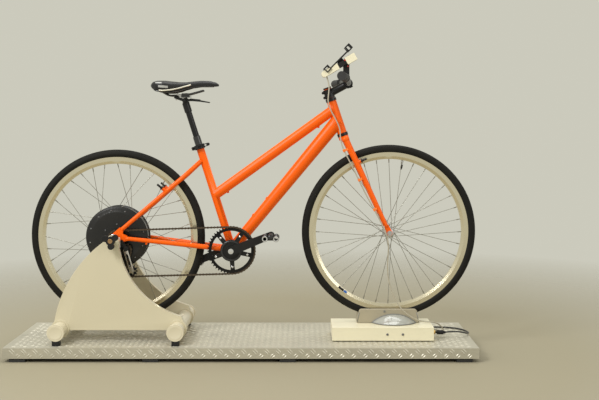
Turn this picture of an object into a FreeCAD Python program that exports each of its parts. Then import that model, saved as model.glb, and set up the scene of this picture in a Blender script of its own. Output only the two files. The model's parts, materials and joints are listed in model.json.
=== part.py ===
"""Bicycle on a trainer stand: flat-bar bicycle, rear stand with a hub motor, front steering base, platform.

Millimetres. +X is the way the bicycle faces, +Y is its left side, +Z is up. The origin is on the floor, in
the bicycle's middle plane, under the third row of the platform's pads. The drive side (chain, derailleur)
is the -Y side.
"""
import FreeCAD, Part
import math
import os
import Sketcher

Vec = FreeCAD.Vector
doc = FreeCAD.newDocument("BicycleOnStand")

# ---------------------------------------------------------------------------------------------- sizes

SIZES = {
    # platform
    "platform_length": 1803, "platform_x": -177, "platform_width": 480, "platform_top": 54,
         "tread_plate": 3,
    "plate_skirt": 40, "plate_seam": 1, "rail_width": 40, "rail_wall": 3, "pad_length": 60, "pad_width": 44,
    # wheels
    "tyre_diameter": 692, "tyre_width": 35, "tyre_wall": 3.2, "rim_diameter": 634, "rim_width": 24,
    "rim_depth": 27, "rim_wall": 2.5, "spoke_count": 36, "spoke_diameter": 2, "nipple_length": 14,
    "front_axle_x": 400, "front_axle_z": 471.6, "rear_axle_x": -678, "rear_axle_z": 452.6,
    "axle_diameter": 9, "rear_axle_diameter": 12, "front_flange_diameter": 45, "front_hub_half": 49,
    "motor_diameter": 242, "motor_half": 41, "motor_wall": 6, "running_gap": 0.05,
    # frame
    "bracket_x": -224, "bracket_z": 402, "seat_top_x": -353, "seat_top_z": 816, "seat_tube_diameter": 31,
    "head_low_x": 214, "head_low_z": 864, "head_tilt": 18.8, "head_length": 132, "head_diameter": 38,
    "top_tube_diameter": 40, "top_tube_seat_z": 618, "top_tube_drop": 33, "down_tube_diameter": 43,
    "down_tube_head_diameter": 55, "down_tube_drop": 52, "stay_diameter": 18, "tube_wall": 2,
    "dropout_gap": 133, "dropout_thickness": 6, "stay_spread_front": 23, "stay_spread_top": 22,
    "bracket_diameter": 42, "bracket_half": 34, "cup_length": 12, "steerer_diameter": 28.6,
    # fork and bar
    "fork_gap": 101, "blade_diameter": 24, "blade_tip_diameter": 15, "crown_spread": 33, "stem_length": 84,
    "stem_rise": 28.3, "stem_height": 36, "bar_diameter": 22.2, "bar_half": 328, "bar_back": 38,
         "bar_rise": 13,
    "grip_diameter": 34, "grip_length": 126,
    # seat
    "post_diameter": 27, "stanchion_diameter": 24, "collar_length": 28, "post_travel": 95,
         "saddle_length": 266,
    "saddle_width": 156, "saddle_top_z": 1071, "saddle_rear_x": -538, "rail_gap": 44, "rail_diameter": 7,
    # drivetrain
    "chain_pitch": 12.7, "chainring_teeth": 46, "sprocket_teeth": 14, "pulley_teeth": 11, "chain_line": 50,
    "tooth_thickness": 2, "crank_length": 170, "crank_angle": 22, "crank_offset": 68, "crank_thickness": 14,
    "spindle_diameter": 17, "pedal_length": 66, "pedal_width": 84, "pedal_height": 23, "pedal_axle": 9,
    "guide_pulley_x": -641, "guide_pulley_z": 404, "cage_length": 87,
    # rear stand
    "panel_offset": 131, "panel_thickness": 24, "stand_tube_diameter": 58, "stand_tube_length": 418,
    "stand_tube_z": 105, "stand_rear_x": -885, "stand_front_x": -429, "foot_width": 28, "foot_depth": 30,
    "end_cap_diameter": 66, "end_cap_depth": 6,
    "clamp_rod_diameter": 16, "knob_lobe": 34, "knob_height": 18,
    # front base
    "base_length": 396, "base_width": 180, "base_y": -40, "base_left_x": 172, "base_gap": 4,
         "base_height": 46,
    "lid_thickness": 6, "base_wall": 4, "hood_diameter": 194, "hood_x": 420, "hood_height": 41,
    "cradle_length": 248, "cradle_top_length": 226, "cradle_width": 82, "cradle_top_z": 165,
         "groove_width": 46,
    "cradle_lift": 0.8, "tyre_gap": 0.9, "pivot_diameter": 20,
    # cords
    "console_cable_diameter": 5, "base_cable_diameter": 6, "console_coil_radius": 27.5,
    "console_coil_section": 12, "base_coil_radius": 34, "base_coil_section": 21,
}


class Size:
    """A number worked out from the sheet, with the expression that gives it."""

    def __init__(self, value, text):
        self.value, self.text = float(value), text

    def __float__(self):
        return self.value

    def __neg__(self):
        return Size(-self.value, "(0 - %s)" % self.text)

    def __add__(self, other):
        return join(self, other, "+", self.value + float(other))

    def __sub__(self, other):
        return join(self, other, "-", self.value - float(other))

    def __mul__(self, other):
        return join(self, other, "*", self.value * float(other))

    def __truediv__(self, other):
        return join(self, other, "/", self.value / float(other))

    def __radd__(self, other):
        return join(other, self, "+", float(other) + self.value)

    def __rsub__(self, other):
        return join(other, self, "-", float(other) - self.value)

    def __rmul__(self, other):
        return join(other, self, "*", float(other) * self.value)


def text(value):
    return value.text if isinstance(value, Size) else "%.9g" % value


def join(a, b, sign, value):
    return Size(value, "(%s %s %s)" % (text(a), sign, text(b)))


def root(value):
    return Size(math.sqrt(float(value)), "sqrt(%s)" % text(value))


sheet = doc.addObject("Spreadsheet::Sheet", "Sizes")
for row, (alias, number) in enumerate(SIZES.items(), 1):
    sheet.set("A%d" % row, alias)
    sheet.set("B%d" % row, str(number))
    sheet.setAlias("B%d" % row, alias)
doc.recompute()


class Sheet:
    """Reads a cell of the sheet by its alias."""

    def __getattr__(self, alias):
        return Size(getattr(sheet, alias), "Sizes." + alias)


s = Sheet()


def num(alias):
    """A cell's plain number, for shapes made with Part's own functions."""
    return float(getattr(sheet, alias))


# ------------------------------------------------------------------------------- document object helpers

TURN = {"X": FreeCAD.Rotation(Vec(0, 1, 0), 90), "Y": FreeCAD.Rotation(Vec(1, 0, 0), -90),
        "Z": FreeCAD.Rotation()}


def bind(thing, field, value):
    if isinstance(value, Size):
        thing.setExpression(field, value.text)
    else:
        setattr(thing, field, value)


def place(thing, at, along="Z"):
    thing.Placement = FreeCAD.Placement(Vec(*[float(v) for v in at]), TURN[along])
    for axis, value in zip("xyz", at):
        if isinstance(value, Size):
            thing.setExpression("Placement.Base." + axis, value.text)


def prim(kind, name, at=(0, 0, 0), along="Z", **fields):
    thing = doc.addObject("Part::" + kind, name)
    for field, value in fields.items():
        bind(thing, field, value)
    place(thing, at, along)
    return thing


def cylinder(name, radius, length, at, along="Y"):
    return prim("Cylinder", name, at, along, Radius=radius, Height=length)


def box(name, low, span):
    return prim("Box", name, low, "Z", Length=span[0], Width=span[1], Height=span[2])


def fuse(name, pieces):
    thing = doc.addObject("Part::MultiFuse", name)
    thing.Shapes = pieces
    return thing


def cut(name, base, tool):
    thing = doc.addObject("Part::Cut", name)
    thing.Base, thing.Tool = base, tool
    return thing


def common(name, base, tool):
    joined = doc.addObject("Part::Common", name)
    joined.Base, joined.Tool = base, tool
    return joined


def group(name, pieces):
    thing = doc.addObject("Part::Compound", name)
    thing.Links = pieces
    return thing


def made(name, shape):
    thing = doc.addObject("Part::Feature", name)
    thing.Shape = shape
    thing.Placement = FreeCAD.Placement()
    return thing


def body(name, at=(0, 0, 0)):
    thing = doc.addObject("PartDesign::Body", name)
    place(thing, at)
    return thing


def arc_centre(a, b, radius):
    """Centre of the arc from a to b; a positive radius turns left along the way, a negative one right."""
    ax, ay, bx, by = float(a[0]), float(a[1]), float(b[0]), float(b[1])
    half = math.hypot(bx - ax, by - ay) / 2
    reach = math.sqrt(max(radius * radius - half * half, 0))
    side = 1 if radius > 0 else -1
    nx, ny = -(by - ay) / (2 * half), (bx - ax) / (2 * half)
    return (ax + bx) / 2 + nx * reach * side, (ay + by) / 2 + ny * reach * side


def sketch(owner, plane, loops, offset=0):
    """A sketch of closed loops of corners (x, y) or (x, y, radius of the arc that leaves the corner).

    A loop may also be ("circle", x, y, radius). Every corner and radius is bound to the sheet.
    """
    drawn = owner.newObject("Sketcher::SketchObject", owner.Name + "_sketch")
    support = [f for f in owner.Origin.OriginFeatures if f.Role == plane][0]
    drawn.AttachmentSupport = [(support, "")]
    drawn.MapMode = "FlatFace"
    drawn.AttachmentOffset = FreeCAD.Placement(Vec(0, 0, float(offset)), FreeCAD.Rotation())
    if isinstance(offset, Size):
        drawn.setExpression("AttachmentOffset.Base.z", offset.text)

    def fix(kind, *where, value):
        index = drawn.addConstraint(Sketcher.Constraint(kind, *where, float(value)))
        if isinstance(value, Size):
            drawn.setExpression("Constraints[%d]" % index, value.text)

    for loop in loops:
        if loop[0] == "circle":
            _, x, y, radius = loop
            c = drawn.addGeometry(Part.Circle(Vec(float(x), float(y), 0), Vec(0, 0, 1), float(radius)))
            fix("DistanceX", -1, 1, c, 3, value=x)
            fix("DistanceY", -1, 1, c, 3, value=y)
            fix("Radius", c, value=radius)
            continue
        ends = []
        for i, corner in enumerate(loop):
            after = loop[(i + 1) % len(loop)]
            a, b = Vec(float(corner[0]), float(corner[1]), 0), Vec(float(after[0]), float(after[1]), 0)
            if len(corner) == 2:
                edge = drawn.addGeometry(Part.LineSegment(a, b))
                ends.append((edge, 1, 2))
                continue
            radius = corner[2]
            cx, cy = arc_centre(corner, after, float(radius))
            angle_a, angle_b = math.atan2(a.y - cy, a.x - cx), math.atan2(b.y - cy, b.x - cx)
            ring = Part.Circle(Vec(cx, cy, 0), Vec(0, 0, 1), abs(float(radius)))
            if float(radius) > 0:
                edge = drawn.addGeometry(Part.ArcOfCircle(ring, angle_a, angle_b))
                ends.append((edge, 1, 2))
            else:
                edge = drawn.addGeometry(Part.ArcOfCircle(ring, angle_b, angle_a))
                ends.append((edge, 2, 1))
            fix("Radius", edge, value=radius if float(radius) > 0 else -1 * radius)
        for i, (edge, start, end) in enumerate(ends):
            after = ends[(i + 1) % len(ends)]
            drawn.addConstraint(Sketcher.Constraint("Coincident", edge, end, after[0], after[1]))
        for corner, (edge, start, end) in zip(loop, ends):
            fix("DistanceX", -1, 1, edge, start, value=corner[0])
            fix("DistanceY", -1, 1, edge, start, value=corner[1])
    return drawn


def pad(owner, plane, loops, length, offset=0, middle=False):
    feature = owner.newObject("PartDesign::Pad", owner.Name + "_pad")
    feature.Profile = sketch(owner, plane, loops, offset)
    bind(feature, "Length", length)
    feature.Midplane = middle
    return feature


def pocket(owner, plane, loops, length, offset=0, middle=False, reverse=False):
    """Removes material; the volume must fall."""
    doc.recompute()
    before = owner.Shape.Volume
    feature = owner.newObject("PartDesign::Pocket", owner.Name + "_pocket")
    feature.Profile = sketch(owner, plane, loops, offset)
    bind(feature, "Length", length)
    feature.Midplane = middle
    feature.Reversed = reverse
    doc.recompute()
    if owner.Shape.Volume >= before - 1:
        raise RuntimeError(feature.Name + " cuts nothing")
    return feature


def revolve(owner, loops):
    """Revolves a profile drawn with x as radius and y along the axis, about the body's own Y axis."""
    feature = owner.newObject("PartDesign::Revolution", owner.Name + "_turned")
    profile = sketch(owner, "XY_Plane", loops)
    feature.Profile = profile
    feature.ReferenceAxis = (profile, ["V_Axis"])
    feature.Angle = 360
    return feature


# ------------------------------------------------------------------------------------ geometry helpers

def rod(a, b, radius, end_radius=None):
    """A round rod, or a cone, from a to b."""
    way = b - a
    if end_radius is None or abs(end_radius - radius) < 1e-6:
        return Part.makeCylinder(radius, way.Length, a, way)
    return Part.makeCone(radius, end_radius, way.Length, a, way)


def between(a, b, share):
    return a + (b - a) * share


def slab(points, low_y, high_y):
    """A plate with the outline points (x, z), between two heights of y."""
    ring = [Vec(x, low_y, z) for x, z in points]
    face = Part.Face(Part.makePolygon(ring + ring[:1]))
    return face.extrude(Vec(0, high_y - low_y, 0))


def link_plate(a, b, radius_a, radius_b, low_y, high_y):
    """A flat arm with round ends at a and b (x, z), between two heights of y."""
    (ax, az), (bx, bz) = a, b
    span = math.hypot(bx - ax, bz - az)
    lean = math.acos((radius_a - radius_b) / span)
    heading = math.atan2(bz - az, bx - ax)
    corners = []
    for (x, z), radius, turn in ((a, radius_a, 1), (b, radius_b, 1), (b, radius_b, -1), (a, radius_a, -1)):
        angle = heading + turn * lean
        corners.append((x + radius * math.cos(angle), z + radius * math.sin(angle)))
    deep = high_y - low_y
    discs = [Part.makeCylinder(r, deep, Vec(x, low_y, z), Vec(0, 1, 0)) for (x, z), r in
             ((a, radius_a), (b, radius_b))]
    return slab(corners, low_y, high_y).fuse(discs).removeSplitter()


def rounded_path(points, share=0.45, radii=None):
    """A wire of straight runs and tangent arcs through a route; radii may give an arc's size by its index."""
    edges, smallest = [], None
    last = points[0]
    for i in range(1, len(points) - 1):
        before, here, after = points[i - 1], points[i], points[i + 1]
        into, out = (here - before), (after - here)
        runs = min(into.Length, out.Length)
        into.normalize()
        out.normalize()
        half_turn = into.getAngle(out) / 2
        setback = share * runs
        if radii and i in radii:
            setback = radii[i] * math.tan(half_turn)
        radius = setback / math.tan(half_turn)
        smallest = radius if smallest is None else min(smallest, radius)
        start, end = here - into * setback, here + out * setback
        towards = out - into
        towards.normalize()
        middle = here + towards * (radius / math.cos(half_turn) - radius)
        if (start - last).Length > 1e-6:
            edges.append(Part.LineSegment(last, start).toShape())
        edges.append(Part.Arc(start, middle, end).toShape())
        last = end
    edges.append(Part.LineSegment(last, points[-1]).toShape())
    return Part.Wire(edges), smallest


def tube_along(points, radius, share=0.45, radii=None):
    """A round solid swept along a rounded path, with its length and smallest arc."""
    path, smallest = rounded_path(points, share, radii)
    start = points[1] - points[0]
    section = Part.Wire([Part.makeCircle(radius, points[0], start)])
    solid = path.makePipeShell([section], True, False)
    return solid, path.Length, smallest


def ring_of(shape, count, centre, axis, first=0.0):
    """Copies of a shape about an axis."""
    copies = []
    for i in range(count):
        copy = shape.copy()
        copy.rotate(centre, axis, first + 360.0 * i / count)
        copies.append(copy)
    return copies


# ------------------------------------------------------------------------------------------ main points

tilt = math.radians(num("head_tilt"))
STEER = Vec(-math.sin(tilt), 0, math.cos(tilt))
BESIDE = Vec(math.cos(tilt), 0, math.sin(tilt))
FRONT = Vec(num("front_axle_x"), 0, num("front_axle_z"))
REAR = Vec(num("rear_axle_x"), 0, num("rear_axle_z"))
BRACKET = Vec(num("bracket_x"), 0, num("bracket_z"))
SEAT_TOP = Vec(num("seat_top_x"), 0, num("seat_top_z"))
HEAD_LOW = Vec(num("head_low_x"), 0, num("head_low_z"))
HEAD_TOP = HEAD_LOW + STEER * num("head_length")
UP_SEAT = (SEAT_TOP - BRACKET).normalize()
Y = Vec(0, 1, 0)
SIDES = (-1, 1)
deck_z = num("platform_top")


def on_seat_tube(z):
    return BRACKET + (SEAT_TOP - BRACKET) * ((z - BRACKET.z) / (SEAT_TOP.z - BRACKET.z))


def steer_point(along, beside=0.0, y=0.0):
    """A point given along the steering axis from the head tube's lower end, and forward of it."""
    return HEAD_LOW + STEER * along + BESIDE * beside + Y * y


# ------------------------------------------------------------------------------------------- platform

deck_start = s.platform_x - s.platform_length / 2


def deck_plate(name, side):
    """Tread plate folded down over the platform's long edge."""
    plate = body(name, (deck_start, 0, 0))
    edge, seam = s.platform_width / 2 * side, s.plate_seam / 2 * side
    under, inner = s.platform_top - s.tread_plate, edge - s.tread_plate * side
    bottom = s.platform_top - s.plate_skirt
    outline = [(seam, under), (inner, under), (inner, bottom), (edge, bottom), (edge, s.platform_top),
               (seam, s.platform_top)]
    pad(plate, "YZ_Plane", [outline if side > 0 else outline[::-1]], s.platform_length)
    return plate


def deck_frame():
    """Three long hollow rails joined by cross members, under the tread plates."""
    bottom, top = s.platform_top - s.plate_skirt, s.platform_top - s.tread_plate
    height = top - bottom
    rails, bores = [], []
    reach = s.platform_width / 2 - s.tread_plate - s.rail_width
    for i, y in enumerate((-1 * reach - s.rail_width, s.rail_width / -2, reach)):
        rails.append(box("rail_%d" % i, (deck_start, y, bottom), (s.platform_length, s.rail_width, height)))
        bores.append(box("rail_bore_%d" % i, (deck_start - 1, y + s.rail_wall, bottom + s.rail_wall),
                         (s.platform_length + 2, s.rail_width - 2 * s.rail_wall, height - 2 * s.rail_wall)))
    cross = []
    for i in range(6):
        x = deck_start + s.platform_length * (0.01 + 0.192 * i)
        for j, low in enumerate((-1 * reach - 1, s.rail_width / 2 - 1)):
            cross.append(box("cross_%d_%d" % (i, j), (x, low, bottom),
                             (s.rail_wall * 4, reach - s.rail_width / 2 + 2, height)))
    hollow = cut("hollow_rails", fuse("solid_rails", rails), fuse("rail_bores", bores))
    inside = box("cross_clear", (deck_start - 2, s.rail_width / -2 + s.rail_wall, bottom + s.rail_wall),
                 (s.platform_length + 4, s.rail_width - 2 * s.rail_wall, height - 2 * s.rail_wall))
    return cut("deck_frame", fuse("deck_frame_solid", [hollow] + cross), inside)


def rubber_pads():
    """Pads under the platform and under the front base."""
    pads = []
    low = s.platform_top - s.plate_skirt
    rows = (deck_start + s.platform_length * 0.03, deck_start + s.platform_length * 0.31, 0,
            deck_start + s.platform_length * 0.97)
    for i, row in enumerate(rows):
        x = row - s.pad_length / 2
        for j, y in enumerate((s.platform_width / -2 + s.tread_plate + 1, s.pad_width / -2,
                               s.platform_width / 2 - s.tread_plate - s.pad_width - 1)):
            pads.append(box("deck_pad_%d_%d" % (i, j), (x, y, 0), (s.pad_length, s.pad_width, low)))
    for i in SIDES:
        for j in SIDES:
            x = s.base_left_x + s.base_length / 2 + (s.base_length / 2 - 24) * i
            y = s.base_y + (s.base_width / 2 - 20) * j
            pads.append(cylinder("base_pad_%d_%d" % (i + 1, j + 1), 12, s.base_gap, (x, y, s.platform_top),
                                 "Z"))
    return group("rubber_pads", pads)


# ------------------------------------------------------------------------------------------ rear stand

def stand_panel(name, side):
    """Sail-shaped side panel with collars that the cross tubes pass through."""
    panel = body(name)
    axle, top = s.rear_axle_x, s.rear_axle_z
    low = s.stand_tube_z - 5
    rear, front = s.stand_rear_x - 25, s.stand_front_x + 27
    outline = [(rear, low), (front, low), (front, low + 25), (front - 12, low + 53, -330.0),
               (axle + 24, top - 28), (axle + 26, top - 10, 27.0), (axle - 27, top - 2, 500.0),
               (rear, low + 19)]
    offset = s.panel_offset - s.panel_thickness if side < 0 else -1 * s.panel_offset
    pad(panel, "XZ_Plane", [outline], s.panel_thickness, offset)
    collars, bores = [], []
    collar_radius, tube_radius = s.stand_tube_diameter / 2 + 7, s.stand_tube_diameter / 2
    inner = s.panel_offset - s.panel_thickness - 4
    for i, x in enumerate((s.stand_rear_x, s.stand_front_x)):
        y = inner if side > 0 else -1 * inner - s.panel_thickness - 8
        collars.append(cylinder("%s_collar_%d" % (name, i), collar_radius, s.panel_thickness + 8,
                                (x, y, s.stand_tube_z)))
        bores.append(cylinder("%s_bore_%d" % (name, i), tube_radius, s.panel_thickness + 20,
                              (x, y - 6, s.stand_tube_z)))
    y = s.panel_offset if side > 0 else -1 * s.panel_offset
    bores.append(cylinder(name + "_rod_bore", s.clamp_rod_diameter / 2 + s.running_gap,
                          2 * s.panel_thickness + 4,
                          (axle, y - s.panel_thickness - 2, top)))
    shape = cut(name + "_cut", fuse(name + "_solid", [panel] + collars), fuse(name + "_bores", bores))
    return shape


def stand_tubes():
    """Two cross tubes closed at each end by a wider round cap."""
    tubes, cap_depth = [], s.end_cap_depth
    for i, x in enumerate((s.stand_rear_x, s.stand_front_x)):
        start = s.stand_tube_length / -2
        parts = [cylinder("tube_outer_%d" % i, s.stand_tube_diameter / 2, s.stand_tube_length,
                          (x, start, s.stand_tube_z))]
        for side in SIDES:
            y = s.stand_tube_length / 2 - cap_depth if side > 0 else start
            parts.append(cylinder("end_cap_%d_%d" % (i, side + 1), s.end_cap_diameter / 2, cap_depth,
                                  (x, y, s.stand_tube_z)))
        bore = cylinder("tube_bore_%d" % i, s.stand_tube_diameter / 2 - s.tube_wall,
                        s.stand_tube_length - 2 * cap_depth,
                        (x, start + cap_depth, s.stand_tube_z))
        tubes.append(cut("tube_%d" % i, fuse("tube_solid_%d" % i, parts), bore))
    return group("stand_tubes", tubes)


def stand_feet():
    """Four blocks that carry the cross tubes' ends on the platform, each hollowed to the tube and its cap."""
    feet, depth, cap_depth = [], s.foot_depth, s.end_cap_depth
    for i, x in enumerate((s.stand_rear_x, s.stand_front_x)):
        for side in SIDES:
            tag = "%d_%d" % (i, side + 1)
            y = s.stand_tube_length / 2 - depth if side > 0 else s.stand_tube_length / -2
            foot = box("foot_" + tag, (x - s.foot_width / 2, y, s.platform_top),
                       (s.foot_width, depth, s.stand_tube_z - s.platform_top - s.stand_tube_diameter / 4))
            seat = cylinder("foot_seat_" + tag, s.stand_tube_diameter / 2 + s.running_gap, depth + 20,
                            (x, y - 10, s.stand_tube_z))
            cap_y = s.stand_tube_length / 2 - cap_depth if side > 0 else s.stand_tube_length / -2 - 10
            cap_seat = cylinder("foot_cap_seat_" + tag, s.end_cap_diameter / 2 + s.running_gap,
                                cap_depth + 10,
                                (x, cap_y, s.stand_tube_z))
            feet.append(cut("foot_cut_" + tag, foot, fuse("foot_seats_" + tag, [seat, cap_seat])))
    return group("stand_feet", feet)


def axle_holders():
    """Clamp rods through the panels, each with a wedge that carries a cup for the axle's end."""
    holders = []
    inner, nut_end = s.panel_offset - s.panel_thickness, s.dropout_gap / 2 + s.dropout_thickness + 13
    for side in SIDES:
        tag = "_%d" % (side + 1)
        rod_start = s.panel_offset + 20 if side < 0 else inner - 2
        rod_y = -1 * rod_start if side < 0 else rod_start
        stem = cylinder("clamp_rod" + tag, s.clamp_rod_diameter / 2, s.panel_thickness + 22,
                        (s.rear_axle_x, rod_y, s.rear_axle_z))
        cup_y = nut_end - 8 if side > 0 else -1 * inner + 1
        cup = cylinder("cup" + tag, 19, inner - nut_end + 7, (s.rear_axle_x, cup_y, s.rear_axle_z))
        wedge_y = nut_end + 3 if side > 0 else -1 * inner + 1
        wedge = box("wedge" + tag, (s.rear_axle_x - 26, wedge_y, s.rear_axle_z - 33),
                    (52, inner - nut_end - 4, 40))
        hollow_y = nut_end - 9 if side > 0 else -1 * nut_end - 0.4
        hollow = cylinder("cup_hollow" + tag, 12.6, 9.4, (s.rear_axle_x, hollow_y, s.rear_axle_z))
        holders.append(cut("holder" + tag, fuse("holder_solid" + tag, [stem, cup, wedge]), hollow))
    return group("axle_holders", holders)


def stand_knob(name, side):
    """Three-lobed clamping knob on the outer end of a clamp rod."""
    near = s.panel_offset + 24
    y = near if side > 0 else -1 * near - s.knob_height
    parts = [cylinder(name + "_hub", s.knob_lobe * 0.5, s.knob_height, (s.rear_axle_x, y, s.rear_axle_z))]
    for i in range(3):
        angle = math.radians(35 + 120 * i)
        x = s.rear_axle_x + s.knob_lobe * 0.62 * math.cos(angle)
        z = s.rear_axle_z + s.knob_lobe * 0.62 * math.sin(angle)
        parts.append(cylinder("%s_lobe_%d" % (name, i), s.knob_lobe * 0.36, s.knob_height, (x, y, z)))
    skirt_y = y - 3.5 if side > 0 else y
    parts.append(cylinder(name + "_skirt", s.knob_lobe * 0.38, s.knob_height + 3.5,
                          (s.rear_axle_x, skirt_y, s.rear_axle_z)))
    bore = cylinder(name + "_bore", s.clamp_rod_diameter / 2 + s.running_gap, s.knob_height - 1,
                    (s.rear_axle_x, y - 5 if side > 0 else y + 6, s.rear_axle_z))
    return cut(name + "_cut", fuse(name + "_solid", parts), bore)


# ------------------------------------------------------------------------------------------ front base

base_top = s.platform_top + s.base_gap + s.base_height + s.lid_thickness
SOCKET_Y = -60


def base_box():
    tray = body("base_box", (s.base_left_x, s.base_y, 0))
    low = s.platform_top + s.base_gap
    half, wall = s.base_width / 2, s.base_wall
    pad(tray, "XY_Plane", [[(0, -1 * half), (s.base_length, -1 * half), (s.base_length, half), (0, half)]],
        s.base_height, low)
    pocket(tray, "XY_Plane", [[(wall, wall - half), (s.base_length - wall, wall - half),
                               (s.base_length - wall, half - wall), (wall, half - wall)]],
           s.base_height - 2 * wall, low + s.base_height - wall)
    socket_hole = cylinder("socket_hole", 8, s.base_wall * 3,
                           (s.base_left_x + s.base_length - s.base_wall * 2, SOCKET_Y, socket_z), "X")
    pivot_hole = cylinder("pivot_hole", s.pivot_diameter / 2 + s.running_gap, s.base_height,
                          (pivot_x, 0, low + s.base_height / 2), "Z")
    return cut("base_box_cut", tray, fuse("base_holes", [socket_hole, pivot_hole]))


def base_lids():
    """Two cover plates that meet along the base's length; the farther one lets the pivot pin through."""
    lids = []
    for side in SIDES:
        y = s.base_y + 0.3 if side > 0 else s.base_y - s.base_width / 2
        lids.append(box("lid_%d" % (side + 1), (s.base_left_x, y, base_top - s.lid_thickness),
                        (s.base_length, s.base_width / 2 - 0.3, s.lid_thickness)))
    hole = cylinder("lid_hole", s.pivot_diameter / 2 + 1, 20, (pivot_x, 0, base_top - 14), "Z")
    return group("base_lids", [lids[0], cut("lid_half_pivot", lids[1], hole)])


def turntable_hood():
    """Half of a shallow dome on the cradle's near side, over the turntable's works."""
    rise, reach = s.hood_height, s.hood_diameter / 2
    ball_radius = (reach * reach + rise * rise) / (2 * rise)
    low = base_top + s.cradle_lift
    ball = prim("Sphere", "hood_ball", (s.hood_x, 0, low + rise - ball_radius), Radius=ball_radius)
    keep = box("hood_keep", (s.hood_x - reach - 5, -1 * reach - 5, low),
               (2 * reach + 10, reach + 5 - s.cradle_width / 2 - s.running_gap, rise + 5))
    return common("turntable_hood", ball, keep)


def wheel_cradle():
    """Block with a round-bottomed groove for the tyre, on a pivot pin that runs down into the base."""
    cradle = body("wheel_cradle")
    low = base_top + s.cradle_lift
    middle, half_top, half_low = s.front_axle_x - 3, s.cradle_top_length / 2, s.cradle_length / 2
    top, corner, lean = s.cradle_top_z, 12.0, 3
    outline = [(middle - half_low, low), (middle + half_low, low),
               (middle + half_top + lean, top - corner, corner),
               (middle + half_top - corner + lean, top), (middle - half_top + corner - lean, top, corner),
               (middle - half_top - lean, top - corner)]
    pad(cradle, "XZ_Plane", [outline], s.cradle_width, 0, True)
    groove = cylinder("groove", s.tyre_diameter / 2 + s.tyre_gap, s.groove_width,
                      (s.front_axle_x, s.groove_width / -2, s.front_axle_z))
    pin = cylinder("pivot_pin", s.pivot_diameter / 2, s.lid_thickness + s.base_height * 0.4,
                   (pivot_x, 0, base_top - s.lid_thickness - s.base_height * 0.4 + s.cradle_lift + 1), "Z")
    return fuse("cradle_whole", [cut("cradle_grooved", cradle, groove), pin])


def axis_foot(height):
    """Where the steering axis meets a height, as a distance along X."""
    return float(HEAD_LOW.x + (HEAD_LOW.z - height) * math.tan(tilt))


pivot_x = axis_foot(float(base_top))
socket_z = 77.0
PLUG_START = Vec(num("base_left_x") + num("base_length") + 14, SOCKET_Y, socket_z)


def base_socket():
    wall = num("base_left_x") + num("base_length")
    flange = Part.makeCylinder(11, 3, Vec(wall, -60, socket_z), Vec(1, 0, 0))
    barrel = Part.makeCylinder(7.8, 20, Vec(wall - 6, -60, socket_z), Vec(1, 0, 0))
    bore = Part.makeCylinder(4, 12, Vec(wall + 4, -60, socket_z), Vec(1, 0, 0))
    return made("base_socket", flange.fuse(barrel).cut(bore))


# ---------------------------------------------------------------------------------------------- wheels

def tyre(name, hub):
    """Open-sided tyre casing that sits in the rim."""
    piece = body(name, hub)
    radius, half = s.tyre_diameter / 2, s.tyre_width / 2
    centre, inner = radius - half, half - s.tyre_wall
    bead, foot = s.rim_width / 2 - s.rim_wall - 0.2, s.rim_diameter / 2 - 5.5
    lip = s.rim_diameter / 2 + 0.4
    wide = root(half * half - (centre - lip) * (centre - lip))
    shoulder = lip + 1.6
    slim = root(inner * inner - (centre - shoulder) * (centre - shoulder))
    outline = [(lip, -1 * wide, half), (lip, wide), (lip, bead), (foot, bead), (foot, bead - 2.6),
               (lip - 1.5, bead - 2.6), (shoulder, slim, -1 * inner), (shoulder, -1 * slim),
               (lip - 1.5, 2.6 - bead),
               (foot, 2.6 - bead), (foot, -1 * bead), (lip, -1 * bead)]
    revolve_wide_arcs(piece, outline, centre)
    return piece


def revolve_wide_arcs(piece, outline, centre):
    """Revolves the tyre's outline, whose two arcs are longer than half a turn, split at the crown."""
    split = []
    for corner in outline:
        if len(corner) == 3:
            radius = corner[2]
            split.append(corner)
            split.append((centre + (radius if float(radius) > 0 else -1 * radius), 0.0, radius))
        else:
            split.append(corner)
    revolve(piece, [split])


def rim(name, hub):
    """Hollow alloy rim."""
    piece = body(name, hub)
    edge, half, wall = s.rim_diameter / 2, s.rim_width / 2, s.rim_wall
    seat, low = edge - 5.7, edge - s.rim_depth
    outer = [(edge, half - wall), (edge, half), (edge - 16, half), (low, half - 5), (low, 5 - half),
             (edge - 16, -1 * half),
             (edge, -1 * half), (edge, wall - half), (seat, wall - half), (seat, half - wall)]
    inner = [(seat - wall, half - wall), (seat - wall, wall - half), (edge - 16, wall - half),
             (low + wall, 7 - half), (low + wall, half - 7), (edge - 16, half - wall)]
    revolve(piece, [outer[::-1], inner])
    return piece


def spokes(name, hub, hole_radius, flange, crossings):
    """Tangential spokes with nipples that end at the rim's inner wall."""
    count, radius = int(num("spoke_count")), num("spoke_diameter") / 2
    low = num("rim_diameter") / 2 - num("rim_depth") - 0.9
    pieces = []
    for k in range(count):
        side = 1 if k % 2 else -1
        lead = 1 if (k // 2) % 2 else -1
        at_rim = 2 * math.pi * k / count
        at_hub = at_rim + lead * crossings * 2 * math.pi / (count / 2)
        out = flange + (2.2 + radius) * lead
        start = hub + Vec(hole_radius * math.cos(at_hub), side * out, hole_radius * math.sin(at_hub))
        end = hub + Vec(low * math.cos(at_rim), side * 3.0, low * math.sin(at_rim))
        joint = end - (end - start).normalize() * num("nipple_length")
        pieces += [rod(start, joint, radius), rod(joint, end, radius * 2)]
    return made(name, Part.makeCompound(pieces))


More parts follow.
